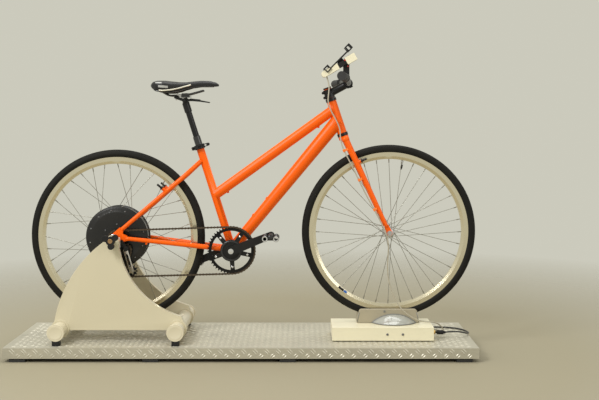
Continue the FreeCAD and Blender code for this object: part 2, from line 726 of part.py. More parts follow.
def front_hub():
    hub = body("front_hub", (s.front_axle_x, 0, s.front_axle_z))
    flange, half, bore = s.front_flange_diameter / 2, s.front_hub_half, s.axle_diameter / 2 + s.running_gap
    outline = [(bore, -1 * half), (8, -1 * half), (10, -40), (13, -36), (flange, -34.5), (flange, -31.5),
               (15, -29),
               (11, -16), (11, 16), (15, 29), (flange, 31.5), (flange, 34.5), (13, 36), (10, 40), (8, half),
               (bore, half)]
    revolve(hub, [outline])
    return hub


def hub_motor():
    """Direct-drive motor shell: rotor drum with two covers, spoke flanges and a hollow inside."""
    shell = body("hub_motor", s_rear())
    edge, half, wall = s.motor_diameter / 2, s.motor_half, s.motor_wall
    bore = s.rear_axle_diameter / 2 + s.running_gap
    side = [(bore, half), (24, half), (30, half - 3), (edge * 0.62, half - 3), (edge * 0.66, half),
            (edge * 0.8, half),
            (edge * 0.84, half - 4), (edge - 6, half - 6), (edge - 6, 34), (edge + 2, 32), (edge + 2, 29),
            (edge - 2, 27)]
    other = [(x, -1 * y) for x, y in side[::-1]]
    inner, deep = edge - 2 - wall, half - 3 - wall
    hollow = [(bore, -1 * deep), (inner - 8, -1 * deep), (inner, -24), (inner, 24), (inner - 8, deep),
              (bore, deep)]
    revolve(shell, [(side + other + hollow)[::-1]])
    return shell


def s_rear():
    return (s.rear_axle_x, 0, s.rear_axle_z)


def rear_axle():
    """Axle with nuts, and the motor's stator pressed on its middle."""
    half = num("dropout_gap") / 2 + num("dropout_thickness") + 12
    radius = num("rear_axle_diameter") / 2
    shaft = rod(REAR - Y * half, REAR + Y * half, radius)
    stator_half, stator_radius = num("motor_half") * 0.5, num("motor_diameter") / 2 * 0.74
    stator = rod(REAR - Y * stator_half, REAR + Y * stator_half, stator_radius)
    window = Part.makeCylinder(stator_radius * 0.2, 4 * stator_half,
                               REAR + Vec(stator_radius * 0.6, -2 * stator_half, 0), Y)
    stator = stator.cut(ring_of(window, 6, REAR, Y))
    parts = [stator]
    for side in SIDES:
        inner = num("dropout_gap") / 2 + num("dropout_thickness")
        parts.append(rod(REAR + Y * side * inner, REAR + Y * side * (inner + 3), 12))
        parts.append(hexagon(REAR + Y * side * (inner + 3), side, 9.8, 8))
        parts.append(rod(REAR + Y * side * (num("motor_half") + 0.4),
                         REAR + Y * side * (num("dropout_gap") / 2), 9.5 if side > 0 else 8))
    return made("rear_axle", shaft.fuse(parts).removeSplitter())


def hexagon(start, side, radius, height):
    ring = [start + Vec(radius * math.cos(math.pi * i / 3), 0, radius * math.sin(math.pi * i / 3))
            for i in range(6)]
    return Part.Face(Part.makePolygon(ring + ring[:1])).extrude(Y * side * height)


def front_axle():
    half = num("fork_gap") / 2 + 6
    radius = num("axle_diameter") / 2
    shaft = rod(FRONT - Y * (half + 8), FRONT + Y * (half + 8), radius)
    parts = []
    for side in SIDES:
        parts.append(rod(FRONT + Y * side * half, FRONT + Y * side * (half + 2.5), 9.5))
        parts.append(hexagon(FRONT + Y * side * (half + 2.5), side, 8.2, 6))
    return made("front_axle", shaft.fuse(parts).removeSplitter())


# ----------------------------------------------------------------------------------------------- frame

def frame():
    """The welded frame: hollow tubes, head tube, bracket shell, stays, dropouts and small bosses."""
    wall = num("tube_wall")
    seat_radius, head_radius = num("seat_tube_diameter") / 2, num("head_diameter") / 2
    top_radius, stay = num("top_tube_diameter") / 2, num("stay_diameter") / 2
    joint_seat = on_seat_tube(num("top_tube_seat_z"))
    joint_top = HEAD_TOP - STEER * num("top_tube_drop")
    joint_down = HEAD_LOW + STEER * num("down_tube_drop")
    down_low, down_high = num("down_tube_diameter") / 2, num("down_tube_head_diameter") / 2
    outer = [rod(BRACKET, SEAT_TOP, seat_radius), rod(HEAD_LOW, HEAD_TOP, head_radius),
             rod(joint_seat, joint_top, top_radius), rod(BRACKET, joint_down, down_low, down_high),
             rod(BRACKET - Y * num("bracket_half"), BRACKET + Y * num("bracket_half"),
                 num("bracket_diameter") / 2)]
    bores = [rod(SEAT_TOP - UP_SEAT * (SEAT_TOP - BRACKET).Length * 0.94, SEAT_TOP + UP_SEAT * 2,
                 num("post_diameter") / 2 + 0.02),
             rod(HEAD_LOW - STEER * 2, HEAD_TOP + STEER * 2, head_radius - wall),
             rod(between(joint_seat, joint_top, 0.06), between(joint_seat, joint_top, 0.92),
                 top_radius - wall),
             rod(between(BRACKET, joint_down, 0.08), between(BRACKET, joint_down, 0.9), down_low - wall,
                 down_high - wall - 1),
             rod(BRACKET - Y * (num("bracket_half") + 2), BRACKET + Y * (num("bracket_half") + 2),
                 num("bracket_diameter") / 2 - 3.5)]
    plate = num("dropout_thickness")
    inner = num("dropout_gap") / 2
    for side in SIDES:
        middle = side * (inner + plate / 2)
        chain_front = BRACKET + Vec(-12, side * num("stay_spread_front"), 1)
        chain_back = REAR + Vec(40, middle, -1)
        seat_front = on_seat_tube(SEAT_TOP.z - 62) + Vec(-10, side * num("stay_spread_top") * 0.5, 0)
        bridge = seat_front + Vec(-62, side * (num("stay_spread_top") * 0.5 + 8), -57)
        seat_back = REAR + Vec(26, middle, 34)
        outer += [rod(chain_front, chain_back, stay + 1.5, stay - 1), rod(seat_front, bridge, stay),
                  Part.makeSphere(stay, bridge), rod(bridge, seat_back, stay, stay - 1)]
        bores += [rod(between(chain_front, chain_back, 0.12), between(chain_front, chain_back, 0.94),
                      stay - wall + 1, stay - wall - 1.5),
                  rod(between(bridge, seat_back, 0.05), between(bridge, seat_back, 0.94), stay - wall,
                      stay - wall - 1)]
        outer.append(dropout(side * inner, side * (inner + plate), side < 0))
        boss = between(bridge, seat_back, 0.3)
        outer.append(rod(boss, boss + Vec(-16, side * 6, 14), 6.5))
        outer.append(rod(between(chain_front, chain_back, 0.8),
                         between(chain_front, chain_back, 0.8) - Vec(0, 0, 15), 4))
    arch = on_seat_tube(SEAT_TOP.z - 62) + Vec(-10 - 62, 0, -57)
    spread = num("stay_spread_top") + 8
    outer.append(rod(arch - Y * spread * 0.9, arch + Y * spread * 0.9, stay * 0.8))
    down_axis = (joint_down - BRACKET).normalize()
    up = Vec(-down_axis.z, 0, down_axis.x)
    for along in (0.24, 0.37):
        base = between(BRACKET, joint_down, along)
        outer.append(rod(base, base + up * (down_low + (down_high - down_low) * along + 2.5), 5))
    for share in (0.1, 0.86):
        spot = between(joint_seat, joint_top, share)
        outer.append(rod(spot, spot + Vec(5, 0, -top_radius - 6), 4.5))
    solid = outer[0].fuse(outer[1:])
    return made("frame", solid.cut(bores[0].fuse(bores[1:])).removeSplitter())


def dropout(inner, outer, hanger):
    """Plate that joins the stays and holds the axle in an open slot; the drive side also hangs the derailleur."""
    low, high = min(inner, outer), max(inner, outer)
    x, z = REAR.x, REAR.z
    plate = slab([(x - 17, z + 4), (x - 10, z + 18), (x + 18, z + 42), (x + 34, z + 40), (x + 30, z + 18),
                  (x + 48, z + 9), (x + 48, z - 10), (x + 14, z - 17), (x - 6, z - 17), (x - 18, z - 8)],
                 low, high)
    parts = []
    if hanger:
        hx, hz = HANGER
        parts.append(link_plate((x + 8, z - 8), (hx, hz), 9, 8, low, high))
    slot_radius = num("rear_axle_diameter") / 2 + 0.05
    slot = Part.makeCylinder(slot_radius, high - low + 2, Vec(x, low - 1, z), Y)
    mouth = Part.makeBox(30, high - low + 2, 2 * slot_radius, Vec(x - 30, low - 1, z - slot_radius))
    body_shape = plate.fuse(parts) if parts else plate
    return body_shape.cut([slot, mouth])


HANGER = (float(REAR.x) + 24.6, float(REAR.z) - 14.6)


def bearing_cups():
    """Headset cups pressed in the head tube and threaded cups in the bracket shell."""
    wall, steerer = num("tube_wall"), num("steerer_diameter") / 2
    seat, flange = num("head_diameter") / 2 - wall, num("head_diameter") / 2 + 2.5
    parts = []
    for end, way in ((HEAD_LOW, -1), (HEAD_TOP, 1)):
        cup = rod(end, end + STEER * way * num("cup_length"),
                  flange).fuse(rod(end - STEER * way * 14, end, seat))
        parts.append(cup.cut(rod(end - STEER * way * 20, end + STEER * way * 30,
                                 steerer + num("running_gap"))))
    shell, half = num("bracket_diameter") / 2 - 3.5, num("bracket_half")
    for side in SIDES:
        cup = rod(BRACKET + Y * side * (half - 14), BRACKET + Y * side * half, shell).fuse(
            rod(BRACKET + Y * side * half, BRACKET + Y * side * (half + 3), shell + 3))
        parts.append(cup.cut(rod(BRACKET - Y * 60, BRACKET + Y * 60,
                                 num("spindle_diameter") / 2 + num("running_gap"))))
    return made("bearing_cups", Part.makeCompound(parts))


def brake_post(start, way, name):
    """Pair of brake pivots with a stop pin each."""
    parts = []
    for side in SIDES:
        base = Vec(start.x, side * start.y, start.z)
        heading = Vec(way.x, side * way.y, way.z)
        parts.append(rod(base, base + heading.normalize() * 24, 4.2).fuse(
            rod(base, base + heading.normalize() * 4, 8)))
    return made(name, Part.makeCompound(parts))


def rear_brake_posts():
    seat_front = on_seat_tube(SEAT_TOP.z - 62) + Vec(-10, num("stay_spread_top") * 0.5, 0)
    bridge = seat_front + Vec(-62, num("stay_spread_top") * 0.5 + 8, -57)
    seat_back = REAR + Vec(26, num("dropout_gap") / 2 + num("dropout_thickness") / 2, 34)
    boss = between(bridge, seat_back, 0.3)
    return brake_post(boss + Vec(-16, 6, 14), Vec(-16, 6, 14), "rear_brake_posts")


# ------------------------------------------------------------------------------------------- seat post

def seat_clamp():
    radius, ring = num("seat_tube_diameter") / 2, 5
    low, high = SEAT_TOP - UP_SEAT * 16, SEAT_TOP + UP_SEAT * 2
    collar = rod(low, high, radius + ring)
    back = UP_SEAT.cross(Y).normalize() * -1
    if back.x > 0:
        back = back * -1
    lug_centre = between(low, high, 0.5) + back * (radius + ring + 4)
    lug = Part.makeCylinder(7, 26, lug_centre - Y * 13, Y)
    bore = rod(low - UP_SEAT * 5, SEAT_TOP,
               radius).fuse(rod(SEAT_TOP - UP_SEAT, high + UP_SEAT * 5, num("post_diameter") / 2 + 0.02))
    slit = slab([(lug_centre.x - 12, lug_centre.z - 30), (lug_centre.x + 12, lug_centre.z - 30),
                 (lug_centre.x + 12, lug_centre.z + 30), (lug_centre.x - 12, lug_centre.z + 30)], -1.5, 1.5)
    bolt = Part.makeCylinder(2.5, 38, lug_centre - Y * 21, Y)
    pivot = rod(QR_PIVOT - UP_SEAT * 7, QR_PIVOT + UP_SEAT * 7, 3)
    return made("seat_clamp", collar.fuse(lug).cut(bore).cut(slit).fuse([bolt, pivot]))


back_of_seat = Vec(-UP_SEAT.z, 0, UP_SEAT.x)
QR_PIVOT = SEAT_TOP - UP_SEAT * 7 + back_of_seat * (num("seat_tube_diameter") / 2 + 9) - Y * 21


def seat_qr_lever():
    """Cam lever that closes the seat clamp: a round cam end and a slotted handle along the clamp's side."""
    forward = back_of_seat * -1
    start, end = QR_PIVOT, QR_PIVOT + forward * 62
    cam = rod(start - UP_SEAT * 5.5, start + UP_SEAT * 5.5, 6.5)
    handle = oriented_box(start + forward * 30 - Y * 3.5, forward, Y, UP_SEAT, 60, 6, 12)
    tip = rod(end - Y * 6.5, end - Y * 0.5, 6)
    slot = oriented_box(start + forward * 38 - Y * 3.5, forward, Y, UP_SEAT, 34, 10, 5.5)
    bore = rod(start - UP_SEAT * 20, start + UP_SEAT * 20, 3 + num("running_gap"))
    fork_gap = rod(start - UP_SEAT * 3.3, start + UP_SEAT * 3.3, 9)
    return made("seat_qr_lever", cam.fuse([handle, tip]).cut([slot, bore, fork_gap]))


def oriented_box(centre, way_x, way_y, way_z, long, wide, high):
    """A box about a centre with its edges along three given directions."""
    matrix = FreeCAD.Matrix(way_x.x, way_y.x, way_z.x, centre.x, way_x.y, way_y.y, way_z.y, centre.y,
                            way_x.z, way_y.z, way_z.z, centre.z, 0, 0, 0, 1)
    shape = Part.makeBox(long, wide, high, Vec(-long / 2, -wide / 2, -high / 2))
    shape.Placement = FreeCAD.Placement(matrix)
    return shape


def seatpost_outer():
    """Lower tube of the height-adjustable post with its sealing collar."""
    radius, inner = num("post_diameter") / 2, num("stanchion_diameter") / 2 + num("running_gap")
    tube = rod(SEAT_TOP - UP_SEAT * (POST_DEPTH + 12), SEAT_TOP + UP_SEAT * 8, radius)
    collar = rod(SEAT_TOP + UP_SEAT * 3, SEAT_TOP + UP_SEAT * (8 + num("collar_length")), radius + 1.2)
    bore = rod(SEAT_TOP - UP_SEAT * POST_DEPTH, SEAT_TOP + UP_SEAT * 80, inner)
    return made("seatpost_outer", tube.fuse(collar).cut(bore))


POST_DEPTH = 168.0
POST_SHOWN = num("collar_length") + 8 + num("post_travel") + 6
HEAD_SPOT = SEAT_TOP + UP_SEAT * (POST_SHOWN + 42)
LEVER_PIVOT = HEAD_SPOT + Vec(22, 0, 8)


def seatpost_stanchion():
    """Sliding upper tube with the clamp head that the saddle sits on."""
    tube = rod(SEAT_TOP - UP_SEAT * (POST_DEPTH - num("post_travel") - 8), HEAD_SPOT,
               num("stanchion_diameter") / 2)
    sleeve = rod(SEAT_TOP + UP_SEAT * POST_SHOWN, HEAD_SPOT - UP_SEAT * 4,
                 num("stanchion_diameter") / 2 + 2.5)
    head = Part.makeCylinder(12, 34, HEAD_SPOT + Vec(2, -17, 4), Y)
    ear = oriented_box(LEVER_PIVOT - Vec(9, 0, 1), Vec(1, 0, 0), Y, Vec(0, 0, 1), 26, 5, 9)
    pin = Part.makeCylinder(2.5, 14, LEVER_PIVOT - Y * 7, Y)
    return made("seatpost_stanchion", tube.fuse([sleeve, head, ear, pin]).removeSplitter())


def dropper_lever():
    """Release lever under the saddle: two cheeks on a pin and a paddle."""
    cheeks = [link_plate((LEVER_PIVOT.x, LEVER_PIVOT.z), (LEVER_PIVOT.x + 34, LEVER_PIVOT.z - 3), 5, 4.5, y,
                         y + 3)
              for y in (-6.2, 3.2)]
    paddle = slab([(LEVER_PIVOT.x + 22, LEVER_PIVOT.z - 6), (LEVER_PIVOT.x + 74, LEVER_PIVOT.z - 13),
                   (LEVER_PIVOT.x + 76, LEVER_PIVOT.z - 9), (LEVER_PIVOT.x + 24, LEVER_PIVOT.z + 1)], -9, 9)
    bore = Part.makeCylinder(2.5 + num("running_gap"), 30, LEVER_PIVOT - Y * 15, Y)
    return made("dropper_lever", cheeks[0].fuse([cheeks[1], paddle]).cut(bore))


def saddle():
    """Plain padded solid of the saddle: sections from the wide tail to the narrow nose."""
    length, width, top = num("saddle_length"), num("saddle_width") / 2, num("saddle_top_z")
    stations = [(0.0, 0.66, -16, -34), (0.06, 0.9, -4, -46), (0.2, 1.0, 0, -52), (0.42, 0.74, -6, -50),
                (0.66, 0.36, -3, -40),
                (0.88, 0.26, -2, -34), (1.0, 0.14, -12, -28)]
    rings = []
    for share, wide, high, low in stations:
        x, w = num("saddle_rear_x") + length * share, width * wide
        z, floor = top + high, top + low
        mid = (z + floor) / 2
        points = [(-w, mid - 3), (-w * 0.86, z - 5), (-w * 0.4, z - 0.5), (w * 0.4, z - 0.5),
                  (w * 0.86, z - 5), (w, mid - 3),
                  (w * 0.8, floor), (-w * 0.8, floor)]
        ring = [Vec(x, y, height) for y, height in points]
        rings.append(Part.makePolygon(ring + ring[:1]))
    return made("saddle", Part.makeLoft(rings, True, True))


def saddle_rails():
    """Two bent rails and the clamp that grips them on the post's head."""
    top, gap = num("saddle_top_z"), num("rail_gap") / 2
    rear, base = num("saddle_rear_x"), HEAD_SPOT.z + 22.2
    parts = []
    for side in SIDES:
        route = [Vec(rear + 46, side * (gap + 14), top - 46), Vec(rear + 70, side * (gap + 2), base + 1),
                 Vec(rear + 142, side * gap, base + 4), Vec(rear + 206, side * 12, top - 40)]
        solid, _, _ = tube_along(route, num("rail_diameter") / 2, 0.4)
        parts.append(solid)
    lower = oriented_box(Vec(HEAD_SPOT.x + 4, 0, base - 2), Vec(1, 0, 0), Y, Vec(0, 0, 1), 34,
                         num("rail_gap") + 14, 8)
    upper = oriented_box(Vec(HEAD_SPOT.x + 4, 0, base + 7), Vec(1, 0, 0), Y, Vec(0, 0, 1), 30,
                         num("rail_gap") + 12, 7)
    bolt = rod(Vec(HEAD_SPOT.x + 4, 0, base - 6), Vec(HEAD_SPOT.x + 4, 0, base + 12), 4)
    return made("saddle_rails", lower.fuse([upper, bolt] + parts))


# ------------------------------------------------------------------------------------------ drivetrain

def pitch_radius(teeth):
    """Radius of the chain's path round a wheel, one pitch of arc for each tooth."""
    return teeth * num("chain_pitch") / (2 * math.pi)


def chain_route():
    """The chain's closed path in the XZ plane: arcs and tangents round the four wheels.

    Each wheel is (x, z, radius, turn), turn 1 for a wheel that the chain goes round clockwise as seen from
    the drive side. The cage swings about the guide pulley until the path is a whole number of links.
    """
    guide = (num("guide_pulley_x"), num("guide_pulley_z"))
    ring, small, pulley = [pitch_radius(num(n)) for n in ("chainring_teeth", "sprocket_teeth",
                                                          "pulley_teeth")]

    def wheels(swing):
        tension = (guide[0] + num("cage_length") * math.sin(swing),
                   guide[1] - num("cage_length") * math.cos(swing))
        return [(BRACKET.x, BRACKET.z, ring, 1), (tension[0], tension[1], pulley, 1),
                (guide[0], guide[1], pulley, -1),
                (REAR.x, REAR.z, small, 1)]

    def length(swing):
        return sum(piece[-1] for piece in path_pieces(wheels(swing)))

    low, high = math.radians(-12), math.radians(50)
    pitch = num("chain_pitch")
    want = math.floor((length(math.radians(14)) / pitch) / 2 + 0.5) * 2 * pitch
    for _ in range(60):
        middle = (low + high) / 2
        if length(middle) > want:
            low = middle
        else:
            high = middle
    return wheels(middle), int(round(want / pitch))


def path_pieces(wheels):
    """Arcs and straight runs of the chain's path, in the order that the chain runs."""
    tangents = []
    for i, (x1, z1, r1, t1) in enumerate(wheels):
        x2, z2, r2, t2 = wheels[(i + 1) % len(wheels)]
        span, heading = math.hypot(x2 - x1, z2 - z1), math.atan2(z2 - z1, x2 - x1)
        lean = math.asin((r1 * t1 - r2 * t2) / span)
        way = heading - lean
        off = way + math.pi / 2
        start = (x1 + r1 * t1 * math.cos(off), z1 + r1 * t1 * math.sin(off))
        end = (x2 + r2 * t2 * math.cos(off), z2 + r2 * t2 * math.sin(off))
        tangents.append((start, end))
    pieces = []
    for i, (x, z, radius, turn) in enumerate(wheels):
        arrive, leave = tangents[i - 1][1], tangents[i][0]
        a0 = math.atan2(arrive[1] - z, arrive[0] - x)
        a1 = math.atan2(leave[1] - z, leave[0] - x)
        sweep = (a0 - a1) % (2 * math.pi) if turn > 0 else (a1 - a0) % (2 * math.pi)
        pieces.append(("arc", (x, z), radius, a0, -turn * sweep, radius * sweep))
        start, end = tangents[i]
        pieces.append(("run", start, end, math.hypot(end[0] - start[0], end[1] - start[1])))
    return pieces


def path_point(pieces, distance):
    for piece in pieces:
        if distance <= piece[-1]:
            share = distance / piece[-1]
            if piece[0] == "run":
                (x1, z1), (x2, z2) = piece[1], piece[2]
                return x1 + (x2 - x1) * share, z1 + (z2 - z1) * share
            _, (x, z), radius, start, sweep, _ = piece
            return x + radius * math.cos(start + sweep * share), z + radius * math.sin(start + sweep * share)
        distance -= piece[-1]
    return path_point(pieces, distance)


WHEELS, LINKS = chain_route()
PATH = path_pieces(WHEELS)
ROLLERS = [path_point(PATH, (i * num("chain_pitch")) % sum(p[-1] for p in PATH)) for i in range(LINKS)]


def chain():
    """Every link: inner ones with rollers, outer ones with pins, in turn along the path."""
    pitch, line = num("chain_pitch"), -num("chain_line")
    inner_parts = [link_outline(pitch, y, y + 1.0) for y in (-2.3, 1.3)]
    rollers = [Part.makeCylinder(3.85, 2.6, Vec(x, -1.3, 0), Y) for x in (0, pitch)]
    holes = [Part.makeCylinder(1.9, 10, Vec(x, -5, 0), Y) for x in (0, pitch)]
    inner = inner_parts[0].fuse([inner_parts[1]] + rollers).cut(holes)
    pins = [Part.makeCylinder(1.7, 7.4, Vec(x, -3.7, 0), Y) for x in (0, pitch)]
    outer_parts = [link_outline(pitch, y, y + 1.0) for y in (-3.4, 2.4)]
    outer = outer_parts[0].fuse([outer_parts[1]] + pins)
    links = []
    for i in range(LINKS):
        (x1, z1), (x2, z2) = ROLLERS[i], ROLLERS[(i + 1) % LINKS]
        slack = (pitch - math.hypot(x2 - x1, z2 - z1)) / 2
        heading = math.atan2(z2 - z1, x2 - x1)
        link = (inner if i % 2 else outer).copy()
        spot = Vec(x1 - slack * math.cos(heading), line, z1 - slack * math.sin(heading))
        link.Placement = FreeCAD.Placement(spot, FreeCAD.Rotation(Y, -math.degrees(heading)))
        links.append(link)
    return made("chain", Part.makeCompound(links))


def link_outline(pitch, low, high):
    """Side plate with round ends and a narrower waist."""
    discs = [Part.makeCylinder(4.1, high - low, Vec(x, low, 0), Y) for x in (0, pitch)]
    waist = Part.makeBox(pitch, high - low, 5.6, Vec(0, low, -2.8))
    return waist.fuse(discs)


def toothed(teeth, centre, radius, thickness):
    """Toothed disc whose gaps are in step with the chain's rollers."""
    near = [math.atan2(z - centre[1], x - centre[0]) for x, z in ROLLERS
            if abs(math.hypot(x - centre[0], z - centre[1]) - radius) < 0.02]
    phase = near[len(near) // 2]
    gap, tip, step = 4.15, 2.8, 2 * math.pi / teeth
    edges, points = [], []
    for i in range(teeth):
        angle = phase + i * step
        spread = math.radians(50)
        mid = (centre[0] + radius * math.cos(angle), centre[1] + radius * math.sin(angle))
        ring = [Vec(mid[0] + gap * math.cos(angle + math.pi + turn), 0,
                    mid[1] + gap * math.sin(angle + math.pi + turn))
                for turn in (spread, 0, -spread)]
        crest = angle + step / 2
        crown = [Vec(centre[0] + (radius + tip) * math.cos(a), 0, centre[1] + (radius + tip) * math.sin(a))
                 for a in (crest - 0.8 / radius, crest + 0.8 / radius)]
        points.append((ring, crown))
    for i in range(teeth):
        ring, crown = points[i]
        following = points[(i + 1) % teeth][0]
        edges.append(Part.Arc(ring[0], ring[1], ring[2]).toShape())
        edges.append(Part.LineSegment(ring[2], crown[0]).toShape())
        edges.append(Part.LineSegment(crown[0], crown[1]).toShape())
        edges.append(Part.LineSegment(crown[1], following[0]).toShape())
    face = Part.Face(Part.Wire(edges))
    plate = face.extrude(Y * thickness)
    plate.translate(Y * (-num("chain_line") - thickness / 2))
    return plate


def chainring():
    radius, thick = pitch_radius(num("chainring_teeth")), num("tooth_thickness")
    plate = toothed(int(num("chainring_teeth")), (BRACKET.x, BRACKET.z), radius, thick)
    line = -num("chain_line")
    start = Vec(BRACKET.x, line - 10, BRACKET.z)
    plate = plate.cut(Part.makeCylinder(radius - 15, 20, start, Y))
    tabs = []
    for i in range(5):
        angle = math.radians(num("crank_angle") + 36 + 72 * i)
        spot = (BRACKET.x + SPIDER * math.cos(angle), BRACKET.z + SPIDER * math.sin(angle))
        edge = (BRACKET.x + (radius - 16) * math.cos(angle), BRACKET.z + (radius - 16) * math.sin(angle))
        tabs.append(link_plate(spot, edge, 7.5, 9, line - thick / 2, line + thick / 2))
    plate = plate.fuse(tabs)
    bolts = []
    for i in range(5):
        angle = math.radians(num("crank_angle") + 36 + 72 * i)
        bolts.append(Part.makeCylinder(4.1, 20, Vec(BRACKET.x + SPIDER * math.cos(angle), line - 10,
                                                      BRACKET.z + SPIDER * math.sin(angle)), Y))
    return made("chainring", plate.cut(bolts))


SPIDER = 65.0
BOSS_RADIUS = 43.0


def crank(name, side):
    """Crank arm; the right one carries the five-armed spider, the left one the spindle. Both carry a pedal axle."""
    offset, thick = num("crank_offset"), num("crank_thickness")
    angle = math.radians(num("crank_angle")) + (0 if side < 0 else math.pi)
    near, far = (side * offset, side * (offset + thick)) if side > 0 else (side * (offset + thick),
                                                                           side * offset)
    end = (BRACKET.x + num("crank_length") * math.cos(angle),
           BRACKET.z + num("crank_length") * math.sin(angle))
    arm = link_plate((BRACKET.x, BRACKET.z), end, 18, 13.5, near, far)
    axle_start = side * (offset + thick - 2)
    axle = Part.makeCylinder(num("pedal_axle") / 2, num("pedal_width") - 4, Vec(end[0], axle_start, end[1]),
                             Y * side)
    parts = [axle]
    if side < 0:
        line = -num("chain_line")
        inner_face = line - num("tooth_thickness") / 2 - 0.05
        parts.append(Part.makeCylinder(17, offset + inner_face + 4, Vec(BRACKET.x, -offset - 2, BRACKET.z),
                                       Y))
        parts.append(Part.makeCylinder(BOSS_RADIUS, 6, Vec(BRACKET.x, inner_face - 9, BRACKET.z), Y))
        for i in range(5):
            a = math.radians(num("crank_angle") + 36 + 72 * i)
            tip = (BRACKET.x + SPIDER * math.cos(a), BRACKET.z + SPIDER * math.sin(a))
            parts.append(link_plate((BRACKET.x, BRACKET.z), tip, 11, 8, inner_face - 6, inner_face))
            parts.append(Part.makeCylinder(4, num("tooth_thickness") + 1.6,
                                           Vec(tip[0], inner_face - 0.6, tip[1]), Y))
        bore = Part.makeCylinder(num("spindle_diameter") / 2 + 0.02, offset + 5,
                                 Vec(BRACKET.x, -offset - 3.5, BRACKET.z), Y)
        return made(name, arm.fuse(parts).cut(bore).removeSplitter())
    parts.append(Part.makeCylinder(num("spindle_diameter") / 2, 2 * offset + 5,
                                   Vec(BRACKET.x, -offset - 3, BRACKET.z), Y))
    return made(name, arm.fuse(parts).removeSplitter())


def pedal(name, side):
    """Pedal that turns on the crank's pedal axle: a barrel with a hollow foot tube before and behind it."""
    angle = math.radians(num("crank_angle")) + (0 if side < 0 else math.pi)
    x, z = BRACKET.x + num("crank_length") * math.cos(angle), BRACKET.z + num("crank_length") * math.sin(angle)
    start = num("crank_offset") + num("crank_thickness") + 3
    wide, radius = num("pedal_width"), num("pedal_height") / 2
    reach, drop, web = num("pedal_length") / 2 - radius, 5.0, 12.0
    low = start if side > 0 else -start - wide
    parts = [Part.makeCylinder(radius - 1, wide, Vec(x, low, z), Y)]
    hollows = [Part.makeCylinder(num("pedal_axle") / 2 + num("running_gap"), wide - 4,
                                 Vec(x, start - 1 if side > 0 else -start + 1, z), Y * side)]
    for end in SIDES:
        spot = Vec(x + end * reach, low, z - drop)
        parts.append(Part.makeCylinder(radius, wide, spot, Y))
        hollows.append(Part.makeCylinder(radius - 4.5, wide + 2, spot - Y, Y))
    for share in (0.0, 0.5, 1.0):
        parts.append(Part.makeBox(2 * reach, web, radius,
                                  Vec(x - reach, low + (wide - web) * share, z - drop - radius / 2)))
    return made(name, parts[0].fuse(parts[1:]).cut(hollows))


def rear_sprocket():
    radius = pitch_radius(num("sprocket_teeth"))
    plate = toothed(int(num("sprocket_teeth")), (REAR.x, REAR.z), radius, num("tooth_thickness"))
    line = -num("chain_line")
    carrier = Part.makeCylinder(18, 7, Vec(REAR.x, line - 1, REAR.z), Y)
    bore = Part.makeCylinder(8 + num("running_gap"), 60, Vec(REAR.x, line - 30, REAR.z), Y)
    return made("rear_sprocket", plate.fuse(carrier).cut(bore))


def pulley(name, index):
    x, z, radius, _ = WHEELS[index]
    plate = toothed(int(num("pulley_teeth")), (x, z), radius, num("tooth_thickness"))
    boss = Part.makeCylinder(7, 6, Vec(x, -num("chain_line") - 3, z), Y)
    bore = Part.makeCylinder(2.5 + num("running_gap"), 60, Vec(x, -num("chain_line") - 30, z), Y)
    holes = ring_of(Part.makeCylinder(2.6, 20, Vec(x + 12, -num("chain_line") - 10, z), Y), 5, Vec(x, 0, z),
                    Y)
    return made(name, plate.fuse(boss).cut([bore] + holes))


def derailleur_cage():
    """Two cage plates joined by the pulley bolts."""
    line = -num("chain_line")
    tension, guide = WHEELS[1][:2], WHEELS[2][:2]
    outer = link_plate(guide, tension, 9, 9, line - 6.6, line - 5)
    inner = link_plate(guide, tension, 8, 8, line + 4.9, line + 6.1)
    window = link_plate(between_flat(guide, tension, 0.25), between_flat(guide, tension, 0.75), 4.5, 4.5,
                        line - 20, line + 20)
    bolts = []
    for x, z in (guide, tension):
        bolts.append(Part.makeCylinder(2.5, 12.8, Vec(x, line - 6.7, z), Y))
        bolts.append(Part.makeCylinder(4.5, 1.8, Vec(x, line - 8, z), Y))
    return made("derailleur_cage", outer.cut(window).fuse([inner.cut(window)] + bolts))


def between_flat(a, b, share):
    return a[0] + (b[0] - a[0]) * share, a[1] + (b[1] - a[1]) * share


def derailleur_body():
    """Hanger bolt, upper knuckle, two parallelogram links and lower knuckle, down to the cage's pivot."""
    line, hanger_y = -num("chain_line"), -num("dropout_gap") / 2
    hx, hz = HANGER
    guide = WHEELS[2][:2]
    knuckle = (guide[0] + 7, guide[1] + 9)
    bolt_y = hanger_y - num("dropout_thickness")
    bolt = Part.makeCylinder(9, 12, Vec(hx, bolt_y - 12, hz), Y)
    arm = link_plate((hx, hz), (hx + 9, hz - 12), 9.5, 8, bolt_y - 11, bolt_y - 2)
    links = [link_plate((hx + 9 + dx, hz - 12 + dz), (knuckle[0] + dx, knuckle[1] + dz), 4.5, 4.5,
                        bolt_y - 12 + dy, bolt_y - 8 + dy)
             for dx, dz, dy in ((2, 2, 0), (-2, -3, 5.5))]
    low = Part.makeCylinder(10, 17, Vec(knuckle[0], bolt_y - 13, knuckle[1]), Y)
    foot = Part.makeCylinder(6, line - 8.05 - (bolt_y - 10), Vec(guide[0] + 3, bolt_y - 10, guide[1] + 4),
                             Y)
    return made("derailleur_body", bolt.fuse([arm, low, foot] + links))


# -------------------------------------------------------------------------------- fork, stem and bar

